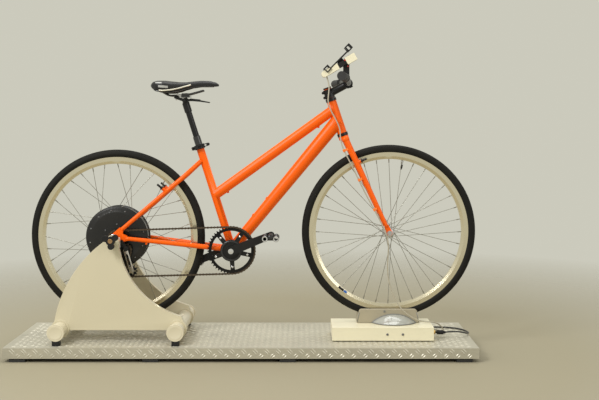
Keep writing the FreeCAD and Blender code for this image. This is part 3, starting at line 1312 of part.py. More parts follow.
def fork():
    """Steerer, crown and two straight blades that end in dropouts for the front axle."""
    cup, steerer = num("cup_length"), num("steerer_diameter") / 2
    crown_top = steer_point(-cup - 0.3)
    crown_mid = steer_point(-cup - 16, 4)
    top = steer_point(num("head_length") + cup + num("stem_height") + 4)
    parts = [rod(crown_top, top, steerer),
             rod(crown_top, steer_point(-cup - 14), num("head_diameter") / 2 + 1)]
    spread, gap = num("crown_spread"), num("fork_gap") / 2
    bores = [rod(steer_point(-cup + 10), top + STEER * 5, steerer - 3)]
    for side in SIDES:
        shoulder = crown_mid + Y * side * spread
        tip = FRONT + Y * side * (gap + 3) + Vec(-12, 0, 26)
        parts += [rod(crown_mid, shoulder, 15), Part.makeSphere(15, shoulder),
                  rod(shoulder, tip, num("blade_diameter") / 2 + 1, num("blade_tip_diameter") / 2)]
        bores.append(rod(between(shoulder, tip, 0.12), between(shoulder, tip, 0.95),
                         num("blade_diameter") / 2 - 1.5,
                         num("blade_tip_diameter") / 2 - 2.2))
        low = side * gap if side > 0 else side * (gap + 6)
        plate = link_plate((tip.x, tip.z), (FRONT.x, FRONT.z), 9, 11, low, low + 6)
        slot = Part.makeCylinder(num("axle_diameter") / 2 + 0.05, 20, Vec(FRONT.x, low - 5, FRONT.z), Y)
        mouth = Part.makeBox(num("axle_diameter") + 0.1, 20, 30,
                             Vec(FRONT.x - num("axle_diameter") / 2 - 0.05, low - 5, FRONT.z - 30))
        parts.append(plate.cut([slot, mouth]))
        boss = between(shoulder, tip, BRAKE_SHARE)
        parts.append(rod(boss, boss + Vec(17, side * 5, 8), 6.5))
    return made("fork", parts[0].fuse(parts[1:]).cut(bores[0].fuse(bores[1:])))


BRAKE_SHARE = 0.27


def front_brake_posts():
    shoulder = steer_point(-num("cup_length") - 16, 4) + Y * num("crown_spread")
    tip = FRONT + Y * (num("fork_gap") / 2 + 3) + Vec(-12, 0, 26)
    boss = between(shoulder, tip, BRAKE_SHARE)
    return brake_post(boss + Vec(17, 5, 8), Vec(17, 5, 8), "front_brake_posts")


STEM_FOOT = steer_point(num("head_length") + num("cup_length") + num("stem_height") / 2 + 1)
rise = math.radians(num("stem_rise"))
STEM_WAY = Vec(math.cos(rise), 0, math.sin(rise))
BAR = STEM_FOOT + STEM_WAY * num("stem_length")


def stem():
    """Clamp on the steerer with two pinch bolts, a forward neck and the half clamp behind the bar; top cap."""
    height, steerer, bar_radius = num("stem_height"), num("steerer_diameter") / 2, num("bar_diameter") / 2 + 1.5
    low, high = STEM_FOOT - STEER * height / 2, STEM_FOOT + STEER * height / 2
    clamp = rod(low, high, steerer + 5)
    neck = rod(STEM_FOOT, BAR, 15)
    jaw = rod(BAR - Y * 22, BAR + Y * 22, bar_radius + 6)
    cap = rod(high + STEER * 3.2, high + STEER * 8, steerer + 2)
    bolts = []
    for lift in (-10, 10):
        spot = STEM_FOOT + STEER * lift - BESIDE * (steerer + 7)
        bolts.append(rod(spot - Y * 12, spot + Y * 12, 5.5))
    bores = [rod(low - STEER * 2, high + STEER * 2, steerer), rod(BAR - Y * 40, BAR + Y * 40, bar_radius)]
    half = oriented_box(BAR + STEM_WAY * 30.6, STEM_WAY, Y, STEM_WAY.cross(Y), 60, 60, 60)
    shape = clamp.fuse([neck, jaw] + bolts).cut(bores[0].fuse(bores[1])).cut(half)
    return made("stem", Part.makeCompound([shape, cap]))


def stem_faceplate():
    """Front half of the bar clamp with its four bolts."""
    bar_radius = num("bar_diameter") / 2 + 1.5
    up = STEM_WAY.cross(Y)
    jaw = rod(BAR - Y * 22, BAR + Y * 22, bar_radius + 6)
    jaw = jaw.cut(rod(BAR - Y * 40, BAR + Y * 40, bar_radius))
    jaw = jaw.cut(oriented_box(BAR - STEM_WAY * 29.4, STEM_WAY, Y, up, 60, 60, 60))
    bolts = []
    for lift in SIDES:
        for side in SIDES:
            spot = BAR + up * lift * (bar_radius + 4) + Y * side * 14 + STEM_WAY * 1
            bolts.append(rod(spot, spot + STEM_WAY * 11, 3.6))
    return made("stem_faceplate", jaw.fuse(bolts))


def bar_route():
    half, back, lift = num("bar_half"), num("bar_back"), num("bar_rise")
    right = [BAR + Vec(-back * s_, -half * y_, lift * z_) for s_, y_,
             z_ in ((1.0, 1.0, 1.0), (0.22, 0.42, 0.95), (0, 0.2, 0))]
    left = [Vec(p.x, -p.y, p.z) for p in right[::-1]]
    return right + left


def handlebar():
    """Low-rise swept bar with a thicker middle."""
    route = bar_route()
    solid, _, _ = tube_along(route, num("bar_diameter") / 2, 0.3)
    middle = rod(BAR - Y * 45, BAR + Y * 45, num("bar_diameter") / 2 + 1.5)
    return made("handlebar", solid.fuse(middle))


def grips():
    parts = []
    route = bar_route()
    for end, inward in ((route[0], route[1]), (route[-1], route[-2])):
        way = (inward - end).normalize()
        sleeve = rod(end - way * 3, end + way * num("grip_length"), num("grip_diameter") / 2 - 1).fuse(
            rod(end - way * 3, end + way * 6, num("grip_diameter") / 2))
        sleeve = sleeve.fuse(rod(end + way * (num("grip_length") - 7), end + way * num("grip_length"),
                                 num("grip_diameter") / 2))
        parts.append(sleeve.cut(rod(end, end + way * 200, num("bar_diameter") / 2)))
    return made("grips", Part.makeCompound(parts))


# -------------------------------------------------------------------------------------------- console

SLOPE = math.radians(30)
ALONG = Vec(math.cos(SLOPE), 0, math.sin(SLOPE))
ACROSS = Vec(-math.sin(SLOPE), 0, math.cos(SLOPE))
CONSOLE = BAR + Vec(-67, 0, 51.5)


def console_body():
    """Console: a round-ended lower housing and a thicker upper housing in line, with a foot on the bar."""
    lower = oriented_box(CONSOLE + ALONG * 2, ALONG, Y, ACROSS, 62, 58, 24)
    tail = Part.makeCylinder(12, 58, CONSOLE - ALONG * 29 - Y * 29, Y)
    upper = oriented_box(CONSOLE + ALONG * 90, ALONG, Y, ACROSS, 42, 66, 29)
    waist = oriented_box(CONSOLE + ALONG * 52, ALONG, Y, ACROSS, 42, 50, 20)
    foot = oriented_box(BAR + Vec(-6, 0, 44), Vec(1, 0, 0), Y, Vec(0, 0, 1), 24, 20, 66)
    foot = foot.cut(rod(BAR - Y * 30, BAR + Y * 30, num("bar_diameter") / 2 + 1.5 + 6.05))
    return made("console_body", lower.fuse([tail, upper, waist, foot]).removeSplitter())


def console_jaws():
    """Sloping holder plate above the console with a square hollow jaw at each end."""
    slope = math.radians(45)
    way, up = Vec(math.cos(slope), 0, math.sin(slope)), Vec(-math.sin(slope), 0, math.cos(slope))
    middle = BAR + Vec(-39.5, 0, 98.5)
    plate = oriented_box(middle - up * 7, way, Y, up, 96, 60, 5)
    parts = [plate]
    for side in SIDES:
        jaw = oriented_box(middle + way * side * 58.5, way, Y, up, 23, 70, 23)
        jaw = jaw.cut(oriented_box(middle + way * side * 58.5, way, Y, up, 15, 80, 15))
        parts.append(jaw)
    post = oriented_box(middle - up * 16, way, Y, up, 24, 24, 18)
    shape = parts[0].fuse(parts[1:] + [post])
    return made("console_jaws", shape.cut(console_body_shape()))


def console_body_shape():
    doc.recompute()
    return doc.getObject("console_body").Shape


# ----------------------------------------------------------------------------------------------- cords

CABLE_JOIN = Vec(393, -68, 382)
CABLE_GAP = Vec(0.01, -0.01, 0.2)
CONSOLE_CABLE_UPPER = [
    CONSOLE + Vec(-17.43, -14, -19.63), CONSOLE + Vec(-11.43, -18, -41.63), Vec(162, -25, 1043),
                       Vec(159, -31, 1016), Vec(156, -33, 988),
    Vec(166, -31, 955), Vec(187, -34, 918), Vec(205, -35, 880), Vec(205, -39, 838), Vec(219, -47, 795),
    Vec(246, -52, 745), Vec(274, -55, 688), Vec(303, -57, 628), Vec(334, -61, 572), Vec(362, -66, 520),
    Vec(386, -71, 470), Vec(395, -70, 424), CABLE_JOIN + CABLE_GAP]
CONSOLE_CABLE_LOWER = [
    CABLE_JOIN, Vec(391, -66, 342), Vec(393, -65, 302), Vec(403, -67, 258), Vec(419, -72, 217),
                       Vec(440, -77, 180),
    Vec(468, -79, 152), Vec(503, -74, 131), Vec(540, -62, 118), Vec(576, -44, 116), Vec(604, -24, 101),
    Vec(624, 4, 78), Vec(630, 38, 61), Vec(616, 72, 57), Vec(586, 94, 57.2), Vec(546, 100, 57),
                       Vec(498, 98, 57.1),
    Vec(446, 99.5, 57), Vec(396, 99, 57.1), Vec(348, 102, 57.3), Vec(306, 108, 58), Vec(272, 113, 59)]
BASE_CABLE = [
    Vec(623, -60, 77), Vec(651, -58, 80), Vec(684, -48, 76), Vec(714, -24, 65), Vec(730, 14, 57.4),
              Vec(726, 58, 57.2),
    Vec(706, 98, 57.3), Vec(668, 124, 57.2), Vec(620, 134, 57.3), Vec(570, 130, 59), Vec(522, 127, 63)]
CONSOLE_COIL = Vec(262, 140, 0)
BASE_COIL = Vec(510, 162, 0)


def cord(name, route, diameter):
    solid, length, smallest = tube_along(route, diameter / 2)
    expected = math.pi * diameter * diameter / 4 * length
    print("%s: length %.1f mm, smallest arc %.1f mm, volume ratio %.4f" % (name, length, smallest,
                                                                           solid.Volume / expected))
    return made(name, solid)


def coil(name, centre, radius, section):
    """Outer shape of a coiled length lying flat."""
    spot = Vec(centre.x, centre.y, deck_z + section / 2)
    return made(name, Part.makeTorus(radius, section / 2, spot, Vec(0, 0, 1)))


def cable_plugs():
    """The plug in the base's socket and the plugs at the far ends of both cables."""
    sleeve = Part.makeCylinder(3.95, 12, PLUG_START - Vec(9.9, 0, 0), Vec(1, 0, 0))
    grip = Part.makeCylinder(8.5, 26, PLUG_START + Vec(0.1, 0, 0), Vec(1, 0, 0))
    relief = Part.makeCone(6.5, 4.2, 623 - PLUG_START.x - 26.1, PLUG_START + Vec(26.1, 0, 0), Vec(1, 0, 0))
    far = []
    for centre, wide, kind in ((CONSOLE_COIL, 9.0, "console"), (BASE_COIL, 13.0, "base")):
        reach = num(kind + "_coil_radius")
        start = Vec(centre.x + 6, centre.y + reach, deck_z + wide / 2 + 0.4)
        far.append(Part.makeBox(36, wide, wide, start + Vec(0, -wide / 2, -wide / 2)))
    return made("cable_plugs", Part.makeCompound([sleeve.fuse([grip, relief])] + far))


# ------------------------------------------------------------------------------------------- assembly

HUB_FRONT = (s.front_axle_x, 0, s.front_axle_z)
NODES = {
    "deck_plates": group("deck_plates",
                         [deck_plate("deck_plate_near", -1), deck_plate("deck_plate_far", 1)]),
    "deck_frame": deck_frame(),
    "rubber_pads": rubber_pads(),
    "stand_panel_near": stand_panel("panel_near", -1),
    "stand_panel_far": stand_panel("panel_far", 1),
    "stand_tubes": stand_tubes(),
    "stand_feet": stand_feet(),
    "axle_holders": axle_holders(),
    "knob_near": stand_knob("knob_near", -1),
    "knob_far": stand_knob("knob_far", 1),
    "base_box": base_box(),
    "base_lids": base_lids(),
    "turntable_hood": turntable_hood(),
    "wheel_cradle": wheel_cradle(),
    "base_socket": base_socket(),
    "front_tyre": tyre("front_tyre", HUB_FRONT),
    "front_rim": rim("front_rim", HUB_FRONT),
    "front_spokes": spokes("front_spokes", FRONT, num("front_flange_diameter") / 2 - 4, 33, 3),
    "front_hub": front_hub(),
    "front_axle": front_axle(),
    "rear_tyre": tyre("rear_tyre", s_rear()),
    "rear_rim": rim("rear_rim", s_rear()),
    "rear_spokes": spokes("rear_spokes", REAR, num("motor_diameter") / 2 - 1, 30.5, 1),
    "hub_motor": hub_motor(),
    "rear_axle": rear_axle(),
    "frame": frame(),
    "bearing_cups": bearing_cups(),
    "rear_brake_posts": rear_brake_posts(),
    "seat_clamp": seat_clamp(),
    "seat_qr_lever": seat_qr_lever(),
    "seatpost_outer": seatpost_outer(),
    "seatpost_stanchion": seatpost_stanchion(),
    "dropper_lever": dropper_lever(),
    "saddle": saddle(),
    "saddle_rails": saddle_rails(),
    "chain": chain(),
    "chainring": chainring(),
    "crank_right": crank("crank_right", -1),
    "crank_left": crank("crank_left", 1),
    "pedal_right": pedal("pedal_right", -1),
    "pedal_left": pedal("pedal_left", 1),
    "rear_sprocket": rear_sprocket(),
    "pulley_tension": pulley("pulley_tension", 1),
    "pulley_guide": pulley("pulley_guide", 2),
    "derailleur_cage": derailleur_cage(),
    "derailleur_body": derailleur_body(),
    "fork": fork(),
    "front_brake_posts": front_brake_posts(),
    "stem": stem(),
    "stem_faceplate": stem_faceplate(),
    "handlebar": handlebar(),
    "grips": grips(),
    "console_body": console_body(),
    "console_jaws": console_jaws(),
    "console_cable_upper": cord("console_cable_upper", CONSOLE_CABLE_UPPER, num("console_cable_diameter")),
    "console_cable_lower": cord("console_cable_lower", CONSOLE_CABLE_LOWER, num("console_cable_diameter")),
    "console_cable_coil": coil("console_cable_coil", CONSOLE_COIL, num("console_coil_radius"),
                               num("console_coil_section")),
    "base_cable": cord("base_cable", BASE_CABLE, num("base_cable_diameter")),
    "base_cable_coil": coil("base_cable_coil", BASE_COIL, num("base_coil_radius"),
                            num("base_coil_section")),
    "cable_plugs": cable_plugs(),
}

for label, piece in NODES.items():
    if piece.Label != label:
        for other in doc.getObjectsByLabel(label):
            other.Label = label + "_base"
        piece.Label = label
doc.recompute()

faults = []
for thing in doc.Objects:
    if "Invalid" in thing.State or "Error" in thing.State:
        faults.append("%s is %s" % (thing.Name, thing.State))
for label, piece in NODES.items():
    if piece.Shape.isNull() or not piece.Shape.isValid() or piece.Shape.Volume <= 0:
        faults.append(label + " has no valid shape")
if faults:
    raise RuntimeError("; ".join(faults))

os.makedirs("parts", exist_ok=True)
for label, piece in NODES.items():
    piece.Shape.exportStep("parts/%s.step" % label)
print("%d parts, %d chain links, steering pivot at x %.3f" % (len(NODES), LINKS, pivot_x))
print("tension pulley at %.3f, %.3f; guide pulley at %.3f, %.3f" % (WHEELS[1][:2] + WHEELS[2][:2]))
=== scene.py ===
"""Bicycle on a trainer stand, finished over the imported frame. Metres, +X forward, +Y the left side, +Z up."""
import json
import math

import bmesh
import bpy
from mathutils import Matrix, Vector


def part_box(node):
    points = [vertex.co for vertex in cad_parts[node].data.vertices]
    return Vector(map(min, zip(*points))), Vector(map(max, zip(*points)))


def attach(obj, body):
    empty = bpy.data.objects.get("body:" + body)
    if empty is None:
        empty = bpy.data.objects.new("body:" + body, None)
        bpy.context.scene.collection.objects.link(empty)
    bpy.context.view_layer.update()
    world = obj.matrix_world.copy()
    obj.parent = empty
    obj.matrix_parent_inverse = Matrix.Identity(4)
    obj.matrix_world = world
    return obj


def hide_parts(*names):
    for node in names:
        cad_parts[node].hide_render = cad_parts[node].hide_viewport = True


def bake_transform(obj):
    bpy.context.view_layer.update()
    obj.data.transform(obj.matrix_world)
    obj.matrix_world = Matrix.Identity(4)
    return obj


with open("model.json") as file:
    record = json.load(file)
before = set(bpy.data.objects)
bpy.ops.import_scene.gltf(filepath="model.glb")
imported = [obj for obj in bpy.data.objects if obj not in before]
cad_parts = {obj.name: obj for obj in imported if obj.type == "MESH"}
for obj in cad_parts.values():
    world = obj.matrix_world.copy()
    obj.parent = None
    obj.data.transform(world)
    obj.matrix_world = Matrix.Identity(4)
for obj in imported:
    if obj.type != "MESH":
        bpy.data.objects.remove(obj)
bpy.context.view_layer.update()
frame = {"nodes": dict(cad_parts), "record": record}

ROOT = "stand_and_frame"
X, Y, Z = Vector((1, 0, 0)), Vector((0, 1, 0)), Vector((0, 0, 1))
SIDES = (-1, 1)
NAMED_SIDES = ((-1, "near"), (1, "far"))


def corners(node):
    """Lowest and highest corner of a CAD node's box."""
    return [Vector(c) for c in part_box(node)]


def middle(node):
    """Centre of a CAD node's box."""
    low, high = corners(node)
    return (low + high) / 2


def half_size(node, axis):
    """Half of a CAD node's box along an axis."""
    low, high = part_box(node)
    return (high[axis] - low[axis]) / 2


FRONT, REAR = middle("front_rim"), middle("rear_rim")
BRACKET = middle("chainring")
BRACKET.y = FRONT.y = REAR.y = 0
DECK_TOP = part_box("deck_plates")[1][2]
TYRE_RADIUS, TYRE_HALF = half_size("front_tyre", 2), half_size("front_tyre", 1)
RIM_RADIUS = half_size("front_rim", 2)
CONSOLE_SLOPE = math.radians(30)
SPOKES = 36


# ----------------------------------------------------------------------------------------------- camera

CAMERA_SPOT, CAMERA_DROP = (0.045, -3.781, 0.884), 4.33
SENSOR, LENS = 36.0, 57.2


def camera():
    """The photograph's viewpoint: 3.8 m away, a little below the saddle's height, looking slightly down."""
    data = bpy.data.cameras.new("view")
    data.sensor_width, data.lens = SENSOR, LENS
    view = bpy.data.objects.new("view", data)
    view.location = CAMERA_SPOT
    view.rotation_euler = (math.radians(90 - CAMERA_DROP), 0, 0)
    bpy.context.scene.collection.objects.link(view)
    bpy.context.scene.camera = view


# -------------------------------------------------------------------------------------------- materials

def shader(name):
    made = bpy.data.materials.new(name)
    made.use_nodes = True
    return made, made.node_tree, made.node_tree.nodes["Principled BSDF"]


def node(tree, kind, **inputs):
    made = tree.nodes.new(kind)
    for key, value in inputs.items():
        made.inputs[key.replace("_", " ")].default_value = value
    return made


def maths(tree, operation, a, b=None):
    made = tree.nodes.new("ShaderNodeMath")
    made.operation = operation
    for index, value in enumerate((a, b)):
        if value is None:
            continue
        if hasattr(value, "is_output"):
            tree.links.new(value, made.inputs[index])
        else:
            made.inputs[index].default_value = value
    return made.outputs[0]


def blend_colour(tree, factor, a, b):
    made = tree.nodes.new("ShaderNodeMix")
    made.data_type = "RGBA"
    tree.links.new(factor, made.inputs[0])
    for index, value in ((6, a), (7, b)):
        if hasattr(value, "is_output"):
            tree.links.new(value, made.inputs[index])
        else:
            made.inputs[index].default_value = (*value, 1)
    return made.outputs[2]


def spread(tree, value, low, high):
    """Maps 0..1 to low..high."""
    made = node(tree, "ShaderNodeMapRange", To_Min=low, To_Max=high)
    tree.links.new(value, made.inputs[0])
    return made.outputs[0]


def noise(tree, place, scale, detail=4.0, stretch=None):
    made = node(tree, "ShaderNodeTexNoise", Scale=scale, Detail=detail)
    if stretch:
        mapped = node(tree, "ShaderNodeMapping", Scale=stretch)
        tree.links.new(place, mapped.inputs[0])
        place = mapped.outputs[0]
    tree.links.new(place, made.inputs["Vector"])
    return made.outputs["Fac"]


def bump(tree, surface, height, distance, strength=1.0, under=None):
    made = node(tree, "ShaderNodeBump", Distance=distance, Strength=strength)
    tree.links.new(height, made.inputs["Height"])
    if under is not None:
        tree.links.new(under, made.inputs["Normal"])
    tree.links.new(made.outputs[0], surface.inputs["Normal"])
    return made.outputs[0]


def finish(name, colour, rough, metal=0.0, vary=0.12, grain=700.0, depth=0.00012, coat=0.0, coat_rough=0.08,
           stretch=None, dirt=0.1, dirt_colour=(0.2, 0.18, 0.15), shine=0.5):
    """A surface with fine grain in colour, roughness and relief, broad soiling, and optional lacquer."""
    made, tree, surface = shader(name)
    place = tree.nodes.new("ShaderNodeTexCoord").outputs["Object"]
    fine = noise(tree, place, grain, 5.0, stretch)
    broad = noise(tree, place, 9.0, 6.0)
    dark, light = [c * (1 - vary) for c in colour], [min(1, c * (1 + vary)) for c in colour]
    shade = blend_colour(tree, fine, dark, light)
    soil = spread(tree, maths(tree, "POWER", broad, 3.0), 0.0, dirt * 2)
    tree.links.new(blend_colour(tree, soil, shade, dirt_colour), surface.inputs["Base Color"])
    mixed = maths(tree, "MULTIPLY_ADD", broad, 0.5)
    tree.links.new(maths(tree, "MULTIPLY", fine, 0.5), mixed.node.inputs[2])
    tree.links.new(spread(tree, mixed, max(0.02, rough * 0.72), min(1, rough * 1.3)),
                   surface.inputs["Roughness"])
    bump(tree, surface, fine, depth)
    surface.inputs["Metallic"].default_value = metal
    surface.inputs["Coat Weight"].default_value = coat
    surface.inputs["Coat Roughness"].default_value = coat_rough
    surface.inputs["Specular IOR Level"].default_value = shine
    return made


def object_axes(tree):
    """The object's own coordinates, one output each."""
    place = tree.nodes.new("ShaderNodeTexCoord").outputs["Object"]
    split = tree.nodes.new("ShaderNodeSeparateXYZ")
    tree.links.new(place, split.inputs[0])
    return split.outputs


def squared(tree, value):
    return maths(tree, "MULTIPLY", value, value)


def turned(name, colour, rough, centre, metal=1.0, groove=5200.0, depth=0.00004, coat=0.0, wear=0.1):
    """Metal with fine concentric turning marks about an axle."""
    made = finish(name, colour, rough, metal, grain=500.0, depth=0.00003, coat=coat, dirt=wear)
    tree, surface = made.node_tree, made.node_tree.nodes["Principled BSDF"]
    axes = object_axes(tree)
    across = maths(tree, "SUBTRACT", axes[0], centre.x)
    up = maths(tree, "SUBTRACT", axes[2], centre.z)
    reach = maths(tree, "SQRT", maths(tree, "ADD", squared(tree, across), squared(tree, up)))
    rings = maths(tree, "SINE", maths(tree, "MULTIPLY", reach, groove))
    under = surface.inputs["Normal"].links[0].from_socket
    bump(tree, surface, rings, depth, 0.6, under)
    return made


def leather(name, colour, rough=0.5):
    """Synthetic cover with pebbled cells."""
    made, tree, surface = shader(name)
    place = tree.nodes.new("ShaderNodeTexCoord").outputs["Object"]
    cells = node(tree, "ShaderNodeTexVoronoi", Scale=900.0)
    tree.links.new(place, cells.inputs["Vector"])
    broad = noise(tree, place, 14.0, 5.0)
    shade = blend_colour(tree, broad, [c * 0.8 for c in colour], [min(1, c * 1.2) for c in colour])
    tree.links.new(shade, surface.inputs["Base Color"])
    tree.links.new(spread(tree, broad, rough * 0.8, rough * 1.2), surface.inputs["Roughness"])
    bump(tree, surface, cells.outputs["Distance"], 0.00022, 0.8)
    return made


def ribbed(name, colour, rough, axis, pitch, depth):
    """Rubber with moulded ribs along one axis."""
    made = finish(name, colour, rough, 0.0, grain=1200.0, depth=0.00008, dirt=0.08)
    tree, surface = made.node_tree, made.node_tree.nodes["Principled BSDF"]
    wave = maths(tree, "SINE", maths(tree, "MULTIPLY", object_axes(tree)[axis], 2 * math.pi / pitch))
    under = surface.inputs["Normal"].links[0].from_socket
    bump(tree, surface, maths(tree, "ABSOLUTE", wave), depth, 0.9, under)
    return made


def make_materials():
    black = (0.008, 0.008, 0.009)
    return {
        "tread": finish("tread_metal", (0.57, 0.54, 0.44), 0.48, 0.5, vary=0.12, grain=260.0, depth=0.00008,
                        stretch=(0.25, 1, 1), dirt=0.32, dirt_colour=(0.16, 0.155, 0.15)),
        # Lighter copy of the tread metal for the raised bars: a painted highlight on their crests, and less
        # soiling on them.
        "tread_high": finish("tread_crest_painted_lit", (0.66, 0.63, 0.53), 0.46, 0.5, vary=0.1, grain=420.0,
                             depth=0.00005, dirt=0.2,
                             dirt_colour=(0.2, 0.19, 0.17)),
        "rail": finish("rail_paint", (0.06, 0.06, 0.062), 0.55, dirt=0.2),
        "pad": finish("pad_rubber", (0.02, 0.02, 0.02), 0.8, depth=0.0002),
        "panel": finish("panel_coat", (0.64, 0.58, 0.42), 0.36, vary=0.03, grain=1400.0, depth=0.00003,
                        coat=0.2,
                        coat_rough=0.2, dirt=0.06, dirt_colour=(0.45, 0.4, 0.3)),
        "cream": finish("cream_shell", (0.87, 0.81, 0.6), 0.36, vary=0.03, grain=1400.0, depth=0.00005,
                        coat=0.25,
                        coat_rough=0.2, dirt=0.08, dirt_colour=(0.45, 0.4, 0.32)),
        "white": finish("white_coat", (0.72, 0.655, 0.49), 0.33, vary=0.03, grain=900.0, depth=0.00004,
                        coat=0.4,
                        coat_rough=0.15, dirt=0.1, dirt_colour=(0.4, 0.36, 0.3)),
        "black": finish("black_moulded", black, 0.5, vary=0.2, grain=1500.0, depth=0.00005, dirt=0.05,
                        shine=0.3),
        "satin_black": finish("satin_black", (0.05, 0.05, 0.053), 0.3, 0.6, vary=0.1, grain=1500.0,
                              depth=0.00003, dirt=0.05),
        "gloss_black": finish("black_gloss", (0.012, 0.012, 0.014), 0.2, coat=0.6, grain=900.0,
                              depth=0.00003, dirt=0.04),
        "anodised": finish("black_anodised", (0.009, 0.009, 0.01), 0.3, 0.2, vary=0.15, grain=1800.0,
                           depth=0.00001, dirt=0.04, shine=0.4),
        "bright": finish("bright_alloy", (0.83, 0.83, 0.85), 0.18, 1.0, vary=0.05, grain=900.0, depth=0.00003,
                         dirt=0.06),
        "satin": finish("satin_alloy", (0.7, 0.7, 0.72), 0.32, 1.0, vary=0.06, grain=1200.0, depth=0.00003,
                        dirt=0.08),
        "steel": finish("spoke_steel", (0.3, 0.29, 0.25), 0.36, 0.9, vary=0.08, grain=1500.0, depth=0.000002,
                        dirt=0.08),
        "zinc": finish("zinc", (0.6, 0.6, 0.62), 0.36, 1.0, vary=0.1, grain=800.0, dirt=0.12),
        "brass": finish("turned_brass", (0.72, 0.47, 0.16), 0.3, 1.0, vary=0.08, grain=900.0, depth=0.00003,
                        dirt=0.1),
        "bronze": finish("bronze_disc", (0.42, 0.25, 0.12), 0.34, 0.8, vary=0.08, grain=900.0, dirt=0.1),
        "chain": finish("oiled_chain", (0.11, 0.085, 0.062), 0.42, 0.85, vary=0.3, grain=700.0, dirt=0.5,
                        dirt_colour=(0.05, 0.035, 0.025)),
        "taupe": finish("taupe_shell", (0.39, 0.345, 0.25), 0.5, vary=0.06, grain=1300.0, depth=0.0001,
                        dirt=0.12,
                        dirt_colour=(0.4, 0.38, 0.35)),
        "hood": finish("hood_gloss", (0.42, 0.425, 0.39), 0.14, 0.1, vary=0.03, grain=800.0, depth=0.00002,
                       coat=0.8, dirt=0.04),
        "hood_rim": finish("hood_rim", (0.21, 0.21, 0.2), 0.35, 0.1, vary=0.05, coat=0.3),
        "rubber": finish("tyre_rubber", (0.008, 0.0075, 0.006), 0.7, vary=0.25, grain=900.0,
                         depth=0.00012, dirt=0.14,
                         dirt_colour=(0.06, 0.055, 0.045), shine=0.2),
        "front_rim": turned("front_rim_alloy", (0.8, 0.73, 0.55), 0.24, FRONT),
        "rear_rim": turned("rear_rim_alloy", (0.8, 0.73, 0.55), 0.24, REAR),
        "motor": turned("motor_coat", (0.006, 0.006, 0.007), 0.34, REAR, metal=0.3, groove=1500.0,
                        depth=0.00006, coat=0.25),
        "ring": turned("chainring_coat", (0.008, 0.008, 0.009), 0.32, BRACKET, metal=0.7, groove=4000.0),
        "orange": finish("orange_lacquer", (0.95, 0.125, 0.0008), 0.36, vary=0.03, grain=300.0,
                         depth=0.000001,
                         coat=0.06, coat_rough=0.3, dirt=0.02, dirt_colour=(0.5, 0.1, 0.02), shine=0.22),
        "saddle": leather("saddle_cover", (0.007, 0.007, 0.008)),
        "saddle_grey": leather("saddle_grey", (0.42, 0.42, 0.4), 0.45),
        "saddle_white": leather("saddle_trim", (0.78, 0.75, 0.62), 0.4),
        "grip": ribbed("grip_rubber", (0.02, 0.02, 0.021), 0.7, 1, 0.006, 0.0005),
        "cable": finish("grey_sheath", (0.45, 0.41, 0.32), 0.55, vary=0.08, grain=2500.0, depth=0.00006,
                        dirt=0.2),
        "dark_cable": finish("black_sheath", (0.03, 0.03, 0.03), 0.5, vary=0.15, grain=2500.0,
                             depth=0.00006, dirt=0.1),
        "red": finish("red_insert", (0.6, 0.02, 0.015), 0.35, vary=0.06, coat=0.3),
        "clip": finish("orange_clip", (0.95, 0.22, 0.02), 0.45, vary=0.06),
        "blue": finish("blue_sticker", (0.02, 0.12, 0.45), 0.35, vary=0.05, coat=0.4),
        "screw": finish("grey_screw", (0.22, 0.22, 0.23), 0.4, 0.8, vary=0.1),
        "screen": finish("dark_glass", (0.01, 0.012, 0.014), 0.08, vary=0.02, coat=1.0, coat_rough=0.02,
                         dirt=0.02),
    }


MAT = {}


# ---------------------------------------------------------------------------------------- mesh helpers

def piece(name, mesh_data, material, rides, smooth=True):
    """Links a mesh as a piece that rides on a body."""
    made = bpy.data.objects.new(name, mesh_data)
    bpy.context.scene.collection.objects.link(made)
    for key in material if isinstance(material, (list, tuple)) else (material,):
        made.data.materials.append(MAT[key])
    if smooth:
        made.data.shade_smooth()
    if rides:
        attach(made, rides)
    return made


def mesh(name, points, faces, kinds=None):
    made = bpy.data.meshes.new(name)
    made.from_pydata([tuple(p) for p in points], [], faces)
    if kinds:
        for face, kind in zip(made.polygons, kinds):
            face.material_index = kind
    made.update()
    return made


def from_bmesh(name, work):
    made = bpy.data.meshes.new(name)
    bmesh.ops.recalc_face_normals(work, faces=work.faces)
    work.to_mesh(made)
    work.free()
    return made


def frame_of(way):
    """Two directions square to a way."""
    way = way.normalized()
    side = way.cross(Z)
    if side.length < 1e-3:
        side = way.cross(Y)
    side.normalize()
    return side, way.cross(side).normalized()


def lathe(name, centre, axis, profile, count=96, closed=False, kinds=None):
    """Turns a profile of (along, radius) about an axis."""
    side, up = frame_of(axis)
    axis = axis.normalized()
    points, faces, marks = [], [], []
    rows = len(profile)
    for i in range(count):
        angle = 2 * math.pi * i / count
        out = side * math.cos(angle) + up * math.sin(angle)
        points += [centre + axis * along + out * radius for along, radius in profile]
    for i in range(count):
        for j in range(rows if closed else rows - 1):
            after = (i + 1) % count
            faces.append((i * rows + j, after * rows + j, after * rows + (j + 1) % rows,
                          i * rows + (j + 1) % rows))
            marks.append(kinds[j] if kinds else 0)
    if not closed:
        for j in (0, rows - 1):
            if profile[j][1] > 1e-6:
                faces.append(tuple(i * rows + j for i in range(count)))
                marks.append(kinds[min(j, rows - 2)] if kinds else 0)
    made = mesh(name, points, faces, marks)
    work = bmesh.new()
    work.from_mesh(made)
    bmesh.ops.remove_doubles(work, verts=work.verts, dist=1e-6)
    bmesh.ops.recalc_face_normals(work, faces=work.faces)
    work.to_mesh(made)
    work.free()
    return made


def sharpen(made, angle=35.0, bevel=0.0, segments=3):
    """Rounds hard edges and keeps flats flat."""
    if bevel:
        rounding = made.modifiers.new("rounding", "BEVEL")
        rounding.width, rounding.segments = bevel, segments
        rounding.limit_method, rounding.angle_limit = "ANGLE", math.radians(angle)
        rounding.harden_normals = True
    made.data.shade_smooth()
    made.data.set_sharp_from_angle(angle=math.radians(angle))
    return made


